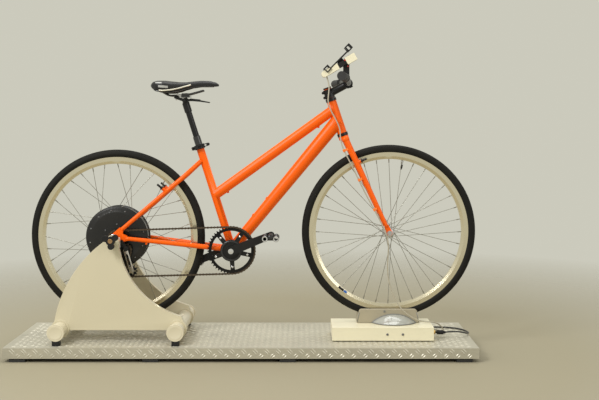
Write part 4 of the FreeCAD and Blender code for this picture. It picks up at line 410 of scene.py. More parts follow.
def softened(cad, material, rides, bevel, angle=35.0):
    """A rounded-edge copy of a CAD node, cleaned of its triangles, that stands for the node."""
    source = frame["nodes"][cad]
    work = bmesh.new()
    work.from_mesh(source.data)
    bmesh.ops.remove_doubles(work, verts=work.verts, dist=1e-6)
    bmesh.ops.dissolve_limit(work, angle_limit=math.radians(0.8), verts=work.verts, edges=work.edges)
    made = piece(cad + "_shell", from_bmesh(cad + "_shell", work), material, rides)
    sharpen(made, angle, bevel)
    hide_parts(cad)
    return made


ROUND = ("frame", "fork", "front_rim", "rear_rim", "handlebar", "saddle_rails", "seatpost_outer",
         "seatpost_stanchion",
         "front_hub", "hub_motor", "bearing_cups")


def body_of(cad):
    return next(body for body, nodes in frame["record"]["behaviour"]["bodies"].items() if cad in nodes)


def paint(cad, *keys):
    """Gives a CAD node its finish; the nodes made of tubes and rings get a copy with even shading."""
    if cad in ROUND:
        made = softened(cad, list(keys), body_of(cad), 0, 32)
        even = made.modifiers.new("even", "WEIGHTED_NORMAL")
        even.keep_sharp = True
        return
    target = frame["nodes"][cad]
    target.data.materials.clear()
    for key in keys:
        target.data.materials.append(MAT[key])


def turned_piece(name, spot, way, profile, material, rides, count=48, closed=False, angle=30, bevel=0.0,
                 segments=3):
    """A piece turned from a profile of (along, radius)."""
    made = piece(name, lathe(name, spot, way, profile, count, closed), material, rides)
    return sharpen(made, angle, bevel, segments)


def tube_mesh(name, line, radius, count=14):
    """A round tube along a line of points, capped at its ends, turned as little as it can be."""
    points, faces = [], []
    way = (line[1] - line[0]).normalized()
    side, up = frame_of(way)
    for i, spot in enumerate(line):
        ahead = line[min(i + 1, len(line) - 1)] - line[max(i - 1, 0)]
        ahead.normalize()
        turn = way.rotation_difference(ahead)
        side, up, way = turn @ side, turn @ up, ahead
        for k in range(count):
            angle = 2 * math.pi * k / count
            points.append(spot + (side * math.cos(angle) + up * math.sin(angle)) * radius)
    for i in range(len(line) - 1):
        for k in range(count):
            after = (k + 1) % count
            faces.append((i * count + k, i * count + after, (i + 1) * count + after, (i + 1) * count + k))
    faces.append(tuple(range(count))[::-1])
    last = (len(line) - 1) * count
    faces.append(tuple(last + k for k in range(count)))
    return mesh(name, points, faces)


def spline_line(points, resolution=12):
    """Points along the smooth line that a route's control points give."""
    curve = bpy.data.curves.new("route", "CURVE")
    curve.dimensions = "3D"
    spline = curve.splines.new("NURBS")
    spline.points.add(len(points) - 1)
    for target, spot in zip(spline.points, points):
        target.co = (*spot, 1)
    spline.order_u = 3
    spline.use_endpoint_u = True
    spline.resolution_u = resolution
    holder = bpy.data.objects.new("route", curve)
    bpy.context.scene.collection.objects.link(holder)
    bpy.context.view_layer.update()
    line_mesh = bpy.data.meshes.new_from_object(holder)
    line = [v.co.copy() for v in line_mesh.vertices]
    bpy.data.objects.remove(holder)
    bpy.data.meshes.remove(line_mesh)
    return line


# ----------------------------------------------------------------------------------------------- cords

def millimetres(*points):
    return [Vector(p) / 1000 for p in points]


CONSOLE_ROUTE = millimetres(
    (151, -14, 1090), (157, -18, 1068), (162, -25, 1043), (159, -31, 1016), (156, -33, 988), (166, -31, 955),
    (187, -34, 918), (205, -35, 880), (205, -39, 838), (219, -47, 795), (246, -52, 745), (274, -55, 688),
    (303, -57, 628), (334, -61, 572), (362, -66, 520), (386, -71, 470), (395, -70, 424), (393, -68, 382),
    (391, -66, 342), (393, -65, 302), (403, -67, 258), (419, -72, 217), (440, -77, 180), (468, -79, 152),
    (503, -74, 131), (540, -62, 118), (576, -44, 116), (604, -24, 101), (624, 4, 78), (630, 38, 61),
                            (616, 72, 57),
    (586, 94, 57.2), (546, 100, 57), (498, 98, 57.1), (446, 99.5, 57), (396, 99, 57.1), (348, 102, 57.3),
    (306, 108, 57.5), (281, 110, 57.2))
BASE_ROUTE = millimetres(
    (623, -60, 77), (651, -58, 80), (684, -48, 76), (714, -24, 65), (730, 14, 57.4), (726, 58, 57.2),
    (706, 98, 57.3), (668, 124, 57.2), (620, 134, 57.3), (570, 130, 57.6), (530, 124, 57.4))
CONSOLE_CABLE, BASE_CABLE = 0.005, 0.006


def coil_points(centre, radius, size, turns, layers, floor, exit_height):
    """A neat coil, clockwise from its near side; layers gives each turn's (outward, level) in cords."""
    points, per_turn = [], 16
    total = int(round(turns * per_turn))
    for i in range(total + 1):
        along = i / per_turn
        turn = min(int(along), len(layers) - 1)
        ahead = min(turn + 1, len(layers) - 1)
        share = max(0.0, (along - turn - 0.7) / 0.3)
        share = share * share * (3 - 2 * share)
        out = layers[turn][0] + (layers[ahead][0] - layers[turn][0]) * share
        level = layers[turn][1] + (layers[ahead][1] - layers[turn][1]) * share
        angle = -math.pi / 2 - 2 * math.pi * along
        reach = (radius + out * size) * 1.012
        height = floor + size * (0.53 + level)
        points.append(Vector((centre[0] + reach * math.cos(angle), centre[1] + reach * math.sin(angle),
                              height)))
    last = points[-1]
    points.append(last + Vector((size * 2.2, size * 0.4, (exit_height - last.z) * 0.5)))
    points.append(Vector((last.x + size * 4.6, last.y + size * 0.7, exit_height)))
    return points


def block_plug(name, start, wide, material):
    """Rounded plug body that begins at the cord's end and lies along +X, with two contacts."""
    work = bmesh.new()
    long = wide * 2.6
    bmesh.ops.create_cube(work, size=1.0)
    for v in work.verts:
        slim = 0.72 if v.co.x < 0 else 1.0
        v.co = Vector((start.x + long / 2 + v.co.x * long, start.y + v.co.y * wide * slim,
                       start.z + v.co.z * wide * slim))
    for lift in SIDES:
        for v in bmesh.ops.create_cube(work, size=1.0)["verts"]:
            v.co = Vector((start.x + long + 0.003 + v.co.x * 0.008,
                           start.y + lift * wide * 0.22 + v.co.y * 0.0011,
                           start.z + v.co.z * wide * 0.35))
    made = piece(name, from_bmesh(name, work), material, ROOT)
    sharpen(made, 40, wide * 0.14, 4)
    return made


def cords():
    """Both cables with their coils and plugs, put away behind the front base."""
    low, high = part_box("console_cable_coil")
    centre = ((low[0] + high[0]) / 2, (low[1] + high[1]) / 2)
    height = DECK_TOP + 0.0049
    turns = coil_points(centre, 0.0275, CONSOLE_CABLE, 2.5, [(0.5, 0), (-0.55, 0), (0.0, 0.9)], DECK_TOP,
                        height)
    line = spline_line(CONSOLE_ROUTE + turns, 8)
    cable = piece("console_cable", tube_mesh("console_cable", line, CONSOLE_CABLE / 2), "cable", None)
    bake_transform(cable)
    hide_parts("console_cable_upper", "console_cable_lower", "console_cable_coil")
    plug = block_plug("console_plug", line[-1], 0.009, "black")

    low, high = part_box("base_cable_coil")
    centre = ((low[0] + high[0]) / 2, (low[1] + high[1]) / 2)
    height = DECK_TOP + 0.0069
    turns = coil_points(centre, 0.034, BASE_CABLE, 6.5,
                        [(1.0, 0), (0, 0), (-1.0, 0), (-0.5, 0.9), (0.5, 0.9), (0.0, 1.8),
                                                          (1.05, 1.3)], DECK_TOP, height)
    line = spline_line(BASE_ROUTE + turns, 8)
    lead = piece("base_cable_lead", tube_mesh("base_cable_lead", line, BASE_CABLE / 2), "dark_cable", ROOT)
    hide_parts("base_cable", "base_cable_coil")
    far = block_plug("base_far_plug", line[-1], 0.013, "black")
    near = turned_piece("base_connector", Vector((0.5895, -0.06, 0.077)), X,
                   [(-0.0098, 0.0039), (0, 0.0039), (0, 0.0075), (0.002, 0.0085), (0.024, 0.0085),
                    (0.026, 0.0068), (0.0275, 0.0062),
                    (0.0275, 0.0052), (0.029, 0.0052), (0.029, 0.0058), (0.0305, 0.0056), (0.0305, 0.0046),
                    (0.032, 0.0046),
                    (0.032, 0.0052), (0.0335, 0.0042), (0.0335, 0.0031)], "black", ROOT, 32, False, 40,
                        0.0004, 2)
    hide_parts("cable_plugs")


# ---------------------------------------------------------------------------------------------- wheels

def tyre_piece(name, cad, hub, rides):
    """Casing with a ribbed centre, angled shoulder blocks cut by grooves, and ringed sidewalls."""
    count, steps = 640, 46
    centre_radius = TYRE_RADIUS - TYRE_HALF
    groove_depth, edge_depth, ring_depth, wall_depth = 0.0013, 0.0009, 0.0004, 0.0007
    limit = math.radians(139)
    points, faces = [], []
    for i in range(count):
        angle = 2 * math.pi * i / count
        for j in range(steps + 1):
            turn = -limit + 2 * limit * j / steps
            across = abs(math.degrees(turn))
            radius = TYRE_HALF
            if across < 62:
                phase = (i / count * 80 + (0.45 if turn > 0 else 0.95) + across / 90) % 1.0
                groove = phase < 0.22 and across > 14
                ring = 16 < across < 20 or 38 < across < 41
                radius -= groove_depth if groove or ring else 0.0
            elif across < 66:
                radius -= edge_depth
            elif 96 < across < 100 or 120 < across < 124:
                radius -= ring_depth
            else:
                radius -= wall_depth
            reach = centre_radius + radius * math.cos(turn)
            points.append(hub + Vector((reach * math.cos(angle), radius * math.sin(turn),
                                        reach * math.sin(angle))))
    width = steps + 1
    for i in range(count):
        after = (i + 1) % count
        for j in range(steps):
            faces.append((i * width + j, i * width + j + 1, after * width + j + 1, after * width + j))
    made = piece(name, mesh(name, points, faces), "rubber", rides)
    made.data.set_sharp_from_angle(angle=math.radians(40))
    shell = made.modifiers.new("wall", "SOLIDIFY")
    shell.thickness, shell.offset = 0.0018, -1
    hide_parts(cad)


def ring_spots(hub, radius, count, first=0.0, y=0.0):
    for i in range(count):
        angle = first + 2 * math.pi * i / count
        yield hub + Vector((radius * math.cos(angle), y, radius * math.sin(angle)))


def screw_heads(name, spots, way, radius, material, rides, height=0.0022):
    """Domed heads with a hexagonal recess."""
    work = bmesh.new()
    side, up = frame_of(way)
    way = way.normalized()
    count = 18
    profile = [(0.0, 1.0), (0.45, 1.0), (0.8, 0.86), (1.0, 0.6), (1.0, 0.46), (0.35, 0.42), (0.35, 0.0)]
    for spot in spots:
        rings = []
        for along, reach in profile:
            ring = []
            for k in range(count):
                angle = 2 * math.pi * k / count
                r = reach * radius
                if 0 < reach < 0.5:
                    r *= 1.0 / max(0.87, math.cos((angle % (math.pi / 3)) - math.pi / 6)) * 0.9
                ring.append(work.verts.new(spot + way * along * height + side * r * math.cos(angle)
                                           + up * r * math.sin(angle)))
                if reach == 0:
                    break
            rings.append(ring)
        for lower, upper in zip(rings, rings[1:]):
            for k in range(count):
                after = (k + 1) % count
                if len(upper) == 1:
                    work.faces.new((lower[k], lower[after], upper[0]))
                else:
                    work.faces.new((lower[k], lower[after], upper[after], upper[k]))
    made = piece(name, from_bmesh(name, work), material, rides)
    made.data.set_sharp_from_angle(angle=math.radians(40))


def spoke_heads(name, hub, radius, flange, rides):
    """Spoke heads on both flanges, alternately inside and outside them."""
    spots = []
    for k in range(SPOKES):
        side = 1 if k % 2 else -1
        lead = 1 if (k // 2) % 2 else -1
        angle = 2 * math.pi * k / SPOKES + lead * 3 * 2 * math.pi / (SPOKES / 2)
        spots.append((hub + Vector((radius * math.cos(angle), side * (flange - lead * 0.0016),
                                    radius * math.sin(angle))), -lead * side))
    for tag, way in (("a", -1), ("b", 1)):
        screw_heads("%s_%s" % (name, tag), [p for p, w in spots if w == way], Y * way, 0.0018, "steel", rides,
                    0.001)


def valve():
    """Slim valve with a black cap on the front rim, and a short lock ring."""
    angle = math.radians(79)
    out = Vector((math.cos(angle), 0, math.sin(angle)))
    start = FRONT + out * (RIM_RADIUS - 0.0272)
    long = 0.018
    turned_piece("valve_stem", start, -out, [(0, 0.003), (0.004, 0.003), (0.004, 0.0045), (0.007, 0.0045),
                                             (0.007, 0.003), (long, 0.0029)], "satin", "front_wheel", 20,
                 False, 40, 0.0002, 2)
    turned_piece("valve_cap", start - out * long, -out,
                 [(0, 0.0042), (0.012, 0.0042), (0.019, 0.0028), (0.02, 0.0)],
                 "black", "front_wheel", 20, False, 40)


def rim_band(name, first, last, material, side):
    """Plain adhesive band that follows the rim's flank."""
    points, faces, steps = [], [], 16
    outer, inner = RIM_RADIUS - 0.0165, RIM_RADIUS - 0.0255
    for i in range(steps + 1):
        angle = math.radians(first + (last - first) * i / steps)
        way = Vector((math.cos(angle), 0, math.sin(angle)))
        points.append(FRONT + way * outer + Y * side * 0.01195)
        points.append(FRONT + way * inner + Y * side * 0.0079)
    for i in range(steps):
        faces.append((2 * i, 2 * i + 1, 2 * i + 3, 2 * i + 2))
    made = piece(name, mesh(name, points, faces), material, "front_wheel")
    made.modifiers.new("thick", "SOLIDIFY").thickness = 0.0003


def wheels():
    tyre_piece("front_tyre_casing", "front_tyre", FRONT, "front_wheel")
    tyre_piece("rear_tyre_casing", "rear_tyre", REAR, "rear_wheel")
    paint("front_rim", "front_rim")
    paint("rear_rim", "rear_rim")
    for cad in ("front_spokes", "rear_spokes"):
        paint(cad, "steel")
    paint("front_hub", "satin")
    sunk = -0.002
    for (side, tag), corner in zip(NAMED_SIDES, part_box("front_hub")):
        spot = Vector((FRONT.x, corner[1], FRONT.z))
        collar = [(sunk, 0.0112), (0.0012, 0.0112), (0.0018, 0.0104), (0.0018, 0.0064), (sunk, 0.0064)]
        turned_piece("axle_collar_" + tag, spot, Y * side, collar, "bright", "steering", 48, True)
        nut = [(sunk, 0.0062), (0.0009, 0.0062), (0.0013, 0.0054), (0.0013, 0.0026), (0.0003, 0.0022),
               (0.0003, 0.0)]
        turned_piece("axle_nut_" + tag, spot, Y * side, nut, "black", "steering", 32)
    paint("hub_motor", "motor")
    for cad in ("front_axle", "rear_axle"):
        paint(cad, "zinc")
    spoke_heads("front_spoke_heads", FRONT, 0.0185, 0.033, "front_wheel")
    valve()
    rim_band("rim_band_dark", 228, 233, "black", -1)
    rim_band("rim_band_blue", 233.2, 236, "blue", -1)
    motor_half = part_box("hub_motor")[1][1]
    for side, tag in NAMED_SIDES:
        spots = ring_spots(REAR, 0.107, 12, 0.2, side * (motor_half - 0.0052))
        screw_heads("motor_screws_" + tag, spots, Y * side, 0.0034, "screw", "rear_wheel", 0.003)
        spots = ring_spots(REAR, 0.052, 6, 0.5, side * (motor_half - 0.003))
        screw_heads("motor_cover_screws_" + tag, spots, Y * side, 0.003, "screw", "rear_wheel", 0.0026)


# ----------------------------------------------------------------------------------------------- stand

def tread_bars():
    """Raised lens-shaped bars in pairs on both tread plates, each pair turned a right angle from the last."""
    low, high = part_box("deck_plates")
    pitch, gap = 0.0219, 0.0088
    for side, tag in NAMED_SIDES:
        work = bmesh.new()

        def pair(spot, along, across, lift, long=0.0212, wide=0.0052, rise=0.0016):
            for shift in (-gap / 2, gap / 2):
                middle_spot = spot + across * shift
                half = along * long / 2
                ring = [middle_spot - half, middle_spot - half * 0.45 + across * wide / 2,
                        middle_spot + half * 0.45 + across * wide / 2, middle_spot + half,
                        middle_spot + half * 0.45 - across * wide / 2,
                        middle_spot - half * 0.45 - across * wide / 2]
                base = [work.verts.new(p - lift * 0.0002) for p in ring]
                crest = [work.verts.new(middle_spot - half * 0.55 + lift * rise),
                         work.verts.new(middle_spot + half * 0.55 + lift * rise)]
                for corners in ((0, 1, 6), (1, 2, 7, 6), (2, 3, 7), (3, 4, 7), (4, 5, 6, 7), (5, 0, 6)):
                    work.faces.new([base[q] if q < 6 else crest[q - 6] for q in corners])

        rows = int((high[1] - 0.012) / pitch)
        columns = int((high[0] - low[0] - 0.03) / pitch)
        wall = Vector((0, side, 0))
        start = low[0] + (high[0] - low[0] - (columns - 1) * pitch) / 2
        for i in range(columns):
            x = start + i * pitch
            for j in range(rows):
                lean = 1 if (i + j) % 2 else -1
                along = Vector((1, lean, 0)).normalized()
                pair(Vector((x, side * (0.014 + j * pitch), high[2])), along, Vector((-along.y, along.x, 0)),
                     Z, 0.0195, 0.0042, 0.0011)
            for row, (height, long) in enumerate(((0.0125, 0.026), (0.0295, 0.018))):
                if i % 2 == row:
                    lean = 1 if row else -1
                    along = Vector((1, 0, lean)).normalized()
                    pair(Vector((x, side * high[1], high[2] - height)), along, Vector((along.z, 0, -along.x)),
                         wall, long)
        # The bars take the lighter copy of the tread metal, a painted highlight on the raised crests.
        made = piece("tread_bars_" + tag, from_bmesh("tread_bars", work), "tread_high", ROOT)
        made.data.set_sharp_from_angle(angle=math.radians(25))


def stand():
    paint("deck_frame", "rail")
    paint("deck_plates", "tread")
    paint("rubber_pads", "pad")
    tread_bars()
    for tag in ("near", "far"):
        softened("stand_panel_" + tag, "panel", ROOT, 0.003)
        softened("knob_" + tag, "black", "knob_" + tag, 0.002, 40)
    softened("stand_tubes", "white", ROOT, 0.0008)
    softened("stand_feet", "black", ROOT, 0.0015, 40)
    end_plugs()
    softened("axle_holders", "bright", ROOT, 0.0012, 40)
    for side, tag in NAMED_SIDES:
        low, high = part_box("knob_" + tag)
        face = high[1] if side > 0 else low[1]
        turned_piece("knob_disc_" + tag, Vector((REAR.x, face - side * 0.0002, REAR.z)), Y * side,
                     [(0, 0.0088), (0.0009, 0.0088), (0.0014, 0.0081), (0.0011, 0.0064), (0.0012, 0.0)],
                     "bronze", "knob_" + tag)


def end_plugs():
    """Shallow moulded rings on the cross tubes' end caps."""
    low, high = corners("stand_tubes")
    radius = (high.z - low.z) / 2
    profile = [(-0.0008, radius - 0.0075), (0.0008, radius - 0.0075), (0.0012, radius - 0.0085),
               (0.0006, radius - 0.0105), (0.0006, 0.0)]
    for end, x in (("rear", low.x + radius), ("front", high.x - radius)):
        for side, tag in NAMED_SIDES:
            face = high.y if side > 0 else low.y
            turned_piece("cap_disc_%s_%s" % (end, tag), Vector((x, face, (low.z + high.z) / 2)), Y * side,
                         profile,
                         "white", ROOT, 64)


def front_base():
    softened("base_box", "cream", ROOT, 0.003)
    softened("base_lids", "cream", ROOT, 0.0014)
    softened("wheel_cradle", "taupe", "turntable", 0.003, 40)
    paint("turntable_hood", "hood")
    paint("base_socket", "brass")
    spots = [Vector((x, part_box("base_box")[0][1], 0.083)) for x in (0.387, 0.447)]
    screw_heads("base_screws", spots, -Y, 0.0048, "screw", ROOT, 0.003)
    low, high = corners("turntable_hood")
    centre = (low.x + high.x) / 2
    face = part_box("wheel_cradle")[0][1]
    apex, hood_radius = 0.041, 0.097
    ball = (hood_radius ** 2 + apex ** 2) / (2 * apex)
    cut_radius = math.sqrt(ball ** 2 - face ** 2)
    sunk = low.z + apex - ball
    arch = []
    limit = math.acos(min(1.0, (low.z - sunk + 0.001) / cut_radius))
    for k in range(49):
        angle = -limit + 2 * limit * k / 48
        arch.append(Vector((centre + cut_radius * math.sin(angle), face - 0.0012,
                            sunk + cut_radius * math.cos(angle))))
    piece("hood_seam", tube_mesh("hood_seam", arch, 0.0021, 10), "hood_rim", "turntable")
    skirt = []
    limit = math.acos(min(1.0, -face / hood_radius))
    for k in range(65):
        angle = -limit + 2 * limit * k / 64
        skirt.append(Vector((centre + hood_radius * math.sin(angle), -hood_radius * math.cos(angle),
                             low.z + 0.0019)))
    piece("hood_skirt", tube_mesh("hood_skirt", skirt, 0.0018, 10), "hood_rim", "turntable")
    low, high = corners("wheel_cradle")
    rounded_block("cradle_catch", Vector((0.383, face - 0.0006, high.z - 0.0085)), (X, Y, Z),
                  (0.008, 0.0016, 0.009), 0.0006,
                  "hood_rim", "turntable")
    for end, lean in ((low.x + 0.0105, -1), (high.x - 0.0105, 1)):
        edge = [Vector((end + lean * 0.0095, face - 0.0003, low.z + 0.024 + 0.003)),
                Vector((end, face - 0.0003, high.z - 0.013))]
        piece("cradle_strip_%s" % ("rear" if lean < 0 else "front"),
              tube_mesh("cradle_strip", edge, 0.0016, 10), "hood_rim", "turntable")


# --------------------------------------------------------------------------------------- bicycle frame

def cable_clip(name, spot, way, gap):
    """Small snap clip round the cable with a foot towards the fork blade."""
    side, up = frame_of(way)
    way = way.normalized()
    rings = []
    work = bmesh.new()
    for along in (-0.0055, 0.0055):
        for radius in (0.0026, 0.0042):
            rings.append([work.verts.new(spot + way * along
                                         + (side * math.cos(a) + up * math.sin(a)) * radius)
                          for a in [2 * math.pi * k / 24 for k in range(24)]])
    inner_a, outer_a, inner_b, outer_b = rings
    for k in range(24):
        n = (k + 1) % 24
        work.faces.new((outer_a[k], outer_a[n], outer_b[n], outer_b[k]))
        work.faces.new((inner_a[n], inner_a[k], inner_b[k], inner_b[n]))
        work.faces.new((inner_a[k], inner_a[n], outer_a[n], outer_a[k]))
        work.faces.new((outer_b[k], outer_b[n], inner_b[n], inner_b[k]))
    foot = bmesh.ops.create_cube(work, size=1.0)["verts"]
    reach = gap.length
    toward = gap.normalized()
    flat = way.cross(toward).normalized()
    for v in foot:
        local = v.co.copy()
        v.co = (spot + toward * (0.0035 + (local.x + 0.5) * (reach - 0.0035)) + way * local.y * 0.009
                + flat * local.z * 0.005)
    sharpen(piece(name, from_bmesh(name, work), "clip", "steering"), 40, 0.0006, 2)


def bicycle_frame():
    paint("frame", "orange")
    paint("fork", "orange")
    for cad in ("bearing_cups", "rear_brake_posts", "front_brake_posts"):
        paint(cad, "anodised")
    for cad in ("stem", "stem_faceplate", "crank_right", "crank_left", "derailleur_body", "seat_clamp"):
        softened(cad, "anodised", body_of(cad), 0.0012, 40)
    paint("chain", "chain")
    paint("rear_sprocket", "chain")
    paint("chainring", "ring")
    paint("derailleur_cage", "bright")
    for cad in ("pulley_guide", "pulley_tension"):
        paint(cad, "black")
    for cad in ("pedal_right", "pedal_left"):
        softened(cad, "black", cad, 0.0022, 40)
    for k, (spot, gap) in enumerate((((219, -47, 795), (20, 6, 8)), ((278, -55.5, 680), (13, 4, 6)),
                                     ((338, -62, 564), (10, 6, 5)))):
        line = Vector((0.42, -0.09, -0.9))
        cable_clip("cable_clip_%d" % (k + 1), Vector(spot) / 1000, line, Vector(gap) / 1000)


def pedals():
    """Bright ferrules in the pedals' tube ends, a dust cap on each barrel and pins along the treads."""
    pins_in_row = 6
    ferrule = [(-0.006, 0.0069), (0.0009, 0.0069), (0.0012, 0.0076), (0.0011, 0.0098), (0.0004, 0.0106),
               (-0.0004, 0.0106)]
    for cad in ("pedal_right", "pedal_left"):
        low, high = corners(cad)
        radius = 0.0115
        height = low.z + radius
        for k, x in enumerate((low.x + radius, high.x - radius)):
            for side in SIDES:
                face = high.y if side > 0 else low.y
                tag = "a" if side < 0 else "b"
                turned_piece("%s_ferrule_%d_%s" % (cad, k + 1, tag), Vector((x, face, height)), Y * side,
                             ferrule,
                             "bright", cad, 40, True)
            pins = []
            for n in range(pins_in_row):
                share = (n + 0.5) / pins_in_row
                y = low.y + (high.y - low.y) * share
                pins.append(Vector((x, y, height + radius - 0.0006)))
            screw_heads("%s_pins_%d" % (cad, k + 1), pins, Z, 0.0022, "screw", cad, 0.0018)
        outer = low.y if cad == "pedal_right" else high.y
        way = Y * (-1 if cad == "pedal_right" else 1)
        turned_piece(cad + "_dust_cap", Vector(((low.x + high.x) / 2, outer, high.z - 0.0105)), way,
                     [(-0.001, 0.0082), (0.0012, 0.0082), (0.0022, 0.0066), (0.0025, 0.0)], "gloss_black",
                     cad, 40)


def drive_bolts():
    """Bright ring bolts on the spider and the crank's centre bolt with its washer."""
    face, circle, first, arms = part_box("chainring")[0][1] - 0.0062, 0.065, 58, 5
    spots = []
    for k in range(arms):
        angle = math.radians(first + 360 / arms * k)
        spots.append(BRACKET + Vector((circle * math.cos(angle), face, circle * math.sin(angle))))
    screw_heads("ring_bolts", spots, -Y, 0.0046, "bright", "crankset", 0.0022)
    crank_face = -0.082
    turned_piece("crank_bolt", BRACKET + Vector((0, crank_face, 0)), -Y,
                 [(-0.001, 0.0105), (0.0012, 0.0105), (0.0012, 0.0068), (0.0048, 0.0062), (0.0052, 0.0038),
                  (0.002, 0.0034), (0.002, 0.0)], "bright", "crankset")
    turned_piece("boss_ring", BRACKET + Vector((0, face - 0.0048, 0)), -Y,
                 [(0.0, 0.0405), (0.0012, 0.0405), (0.0018, 0.0395), (0.0018, 0.0345), (0.0012, 0.0335),
                  (0.0, 0.0335)], "satin_black", "crankset", 96, True)


# ------------------------------------------------------------------------------------------------ seat

def saddle_section(share):
    """The saddle's half width (a share) and its crown, edge and skirt below its top, at a share of its length."""
    table = [(0.0, 0.46, -0.012, -0.020, -0.026), (0.03, 0.70, -0.005, -0.014, -0.036),
             (0.10, 0.93, -0.001, -0.010, -0.044),
             (0.20, 1.0, -0.001, -0.010, -0.049), (0.32, 0.90, -0.004, -0.014, -0.049),
             (0.42, 0.66, -0.0065, -0.016, -0.044),
             (0.52, 0.46, -0.0065, -0.015, -0.036), (0.62, 0.35, -0.003, -0.012, -0.029),
             (0.74, 0.29, -0.0002, -0.009, -0.025),
             (0.86, 0.25, -0.0015, -0.010, -0.025), (0.95, 0.19, -0.007, -0.014, -0.025),
             (1.0, 0.08, -0.015, -0.018, -0.023)]
    for before, after in zip(table, table[1:]):
        if share <= after[0]:
            t = (share - before[0]) / (after[0] - before[0])
            t = t * t * (3 - 2 * t) * 0.5 + t * 0.5
            return [a + (b - a) * t for a, b in zip(before[1:], after[1:])]
    return list(table[-1][1:])


def saddle():
    """Padded cover: crowned top with a shallow channel, rolled edges and deep sides over a moulded base."""
    low, high = corners("saddle")
    length, half, top = high.x - low.x, (high.y - low.y) / 2, high.z
    stations, around, crown_end, snug = 44, 32, 23, 0.985
    points, faces, kinds = [], [], []
    for i in range(stations):
        share = 0.5 - 0.5 * math.cos(math.pi * i / (stations - 1))
        wide, crown, edge, skirt = saddle_section(share)
        w = half * wide * snug
        x = low.x + 0.001 + (length - 0.002) * share
        for k in range(around):
            if k <= crown_end:
                u = (k / crown_end - 0.5) * 2
                if abs(u) < 0.62:
                    v = abs(u) / 0.62
                    y, z = w * math.copysign(v, u) * 0.97, crown + (edge - crown) * v ** 2.4
                else:
                    v = (abs(u) - 0.62) / 0.38
                    y, z = w * math.copysign(0.97 + 0.03 * math.sin(math.pi * v) - 0.12 * v * v,
                                             u), edge + (skirt - edge) * v
                z -= 0.0028 * math.exp(-(y / 0.006) ** 2) * math.sin(math.pi * min(1, share * 1.1)) ** 2
            else:
                u = (k - crown_end) / (around - crown_end)
                y = w * 0.85 * (1 - 2 * u)
                z = skirt + 0.009 * (1 - abs(2 * u - 1) ** 4)
            points.append(Vector((x, y, top + z)))
    for i in range(stations - 1):
        share = 0.5 - 0.5 * math.cos(math.pi * (i + 0.5) / (stations - 1))
        for k in range(around):
            n = (k + 1) % around
            faces.append((i * around + k, i * around + n, (i + 1) * around + n, (i + 1) * around + k))
            kind = 0
            mirrored = min(k, crown_end - 1 - k)
            if k >= crown_end:
                kind = 3
            elif mirrored == 2 and 0.13 < share < 0.27 or mirrored == 4 and 0.08 < share < 0.19:
                kind = 1
            kinds.append(kind)
    faces.append(tuple(range(around))[::-1])
    faces.append(tuple((stations - 1) * around + k for k in range(around)))
    kinds += [0, 0]
    made = piece("saddle_pad", mesh("saddle_pad", points, faces, kinds),
                 ["saddle", "saddle_grey", "saddle_white", "black"],
                 "seatpost_upper")
    smooth = made.modifiers.new("smooth", "SUBSURF")
    smooth.levels = smooth.render_levels = 2
    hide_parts("saddle")
    for side, tag in NAMED_SIDES:
        line, shell = [], []
        for i in range(30):
            share = 0.14 + 0.45 * i / 29
            wide, crown, edge, skirt = saddle_section(share)
            rise = 0.16 + 0.55 * (i / 29) ** 1.5
            y = side * (half * wide * snug * (0.90 + 0.09 * rise) + 0.0002)
            line.append(Vector((low.x + length * share, y, top + skirt + (edge - skirt) * rise)))
        piece("saddle_trim_" + tag, tube_mesh("saddle_trim", line, 0.0027, 12), "saddle_white",
              "seatpost_upper")
        for i in range(40):
            share = 0.06 + 0.86 * i / 39
            wide, crown, edge, skirt = saddle_section(share)
            shell.append(Vector((low.x + length * share, side * half * wide * snug * 0.85,
                                 top + skirt + 0.0012)))
        piece("saddle_edge_" + tag, tube_mesh("saddle_edge", shell, 0.0022, 10), "gloss_black",
              "seatpost_upper")


def seat():
    saddle()
    paint("saddle_rails", "gloss_black")
    paint("seatpost_outer", "gloss_black")
    paint("seatpost_stanchion", "anodised")
    clamp, lean = Vector((-0.4215, 0, 1.0045)), math.radians(20)
    ways = (Vector((math.cos(lean), 0, -math.sin(lean))), Y, Vector((math.sin(lean), 0, math.cos(lean))))
    rounded_block("rail_clamp_lower", clamp - ways[2] * 0.0075, ways, (0.048, 0.056, 0.011), 0.003,
                  "anodised", "seatpost_upper")
    rounded_block("rail_clamp_upper", clamp + ways[2] * 0.0055, ways, (0.036, 0.054, 0.007), 0.0022, "satin",
                  "seatpost_upper")
    screw_heads("rail_clamp_bolts", [clamp + ways[0] * 0.017 * k - ways[2] * 0.0133 for k in SIDES], -ways[2],
                0.0042, "bright",
                "seatpost_upper", 0.004)
    softened("dropper_lever", "anodised", "dropper_lever", 0.0008, 40)
    softened("seat_qr_lever", "black", "seat_qr_lever", 0.001, 40)


# -------------------------------------------------------------------------------------------- controls

def rounded_block(name, centre, ways, size, bevel, material, rides, segments=5):
    work = bmesh.new()
    bmesh.ops.create_cube(work, size=1.0)
    for v in work.verts:
        local = v.co.copy()
        v.co = (centre + ways[0] * local.x * size[0] + ways[1] * local.y * size[1]
                + ways[2] * local.z * size[2])
    made = piece(name, from_bmesh(name, work), material, rides)
    return sharpen(made, 40, bevel, segments)


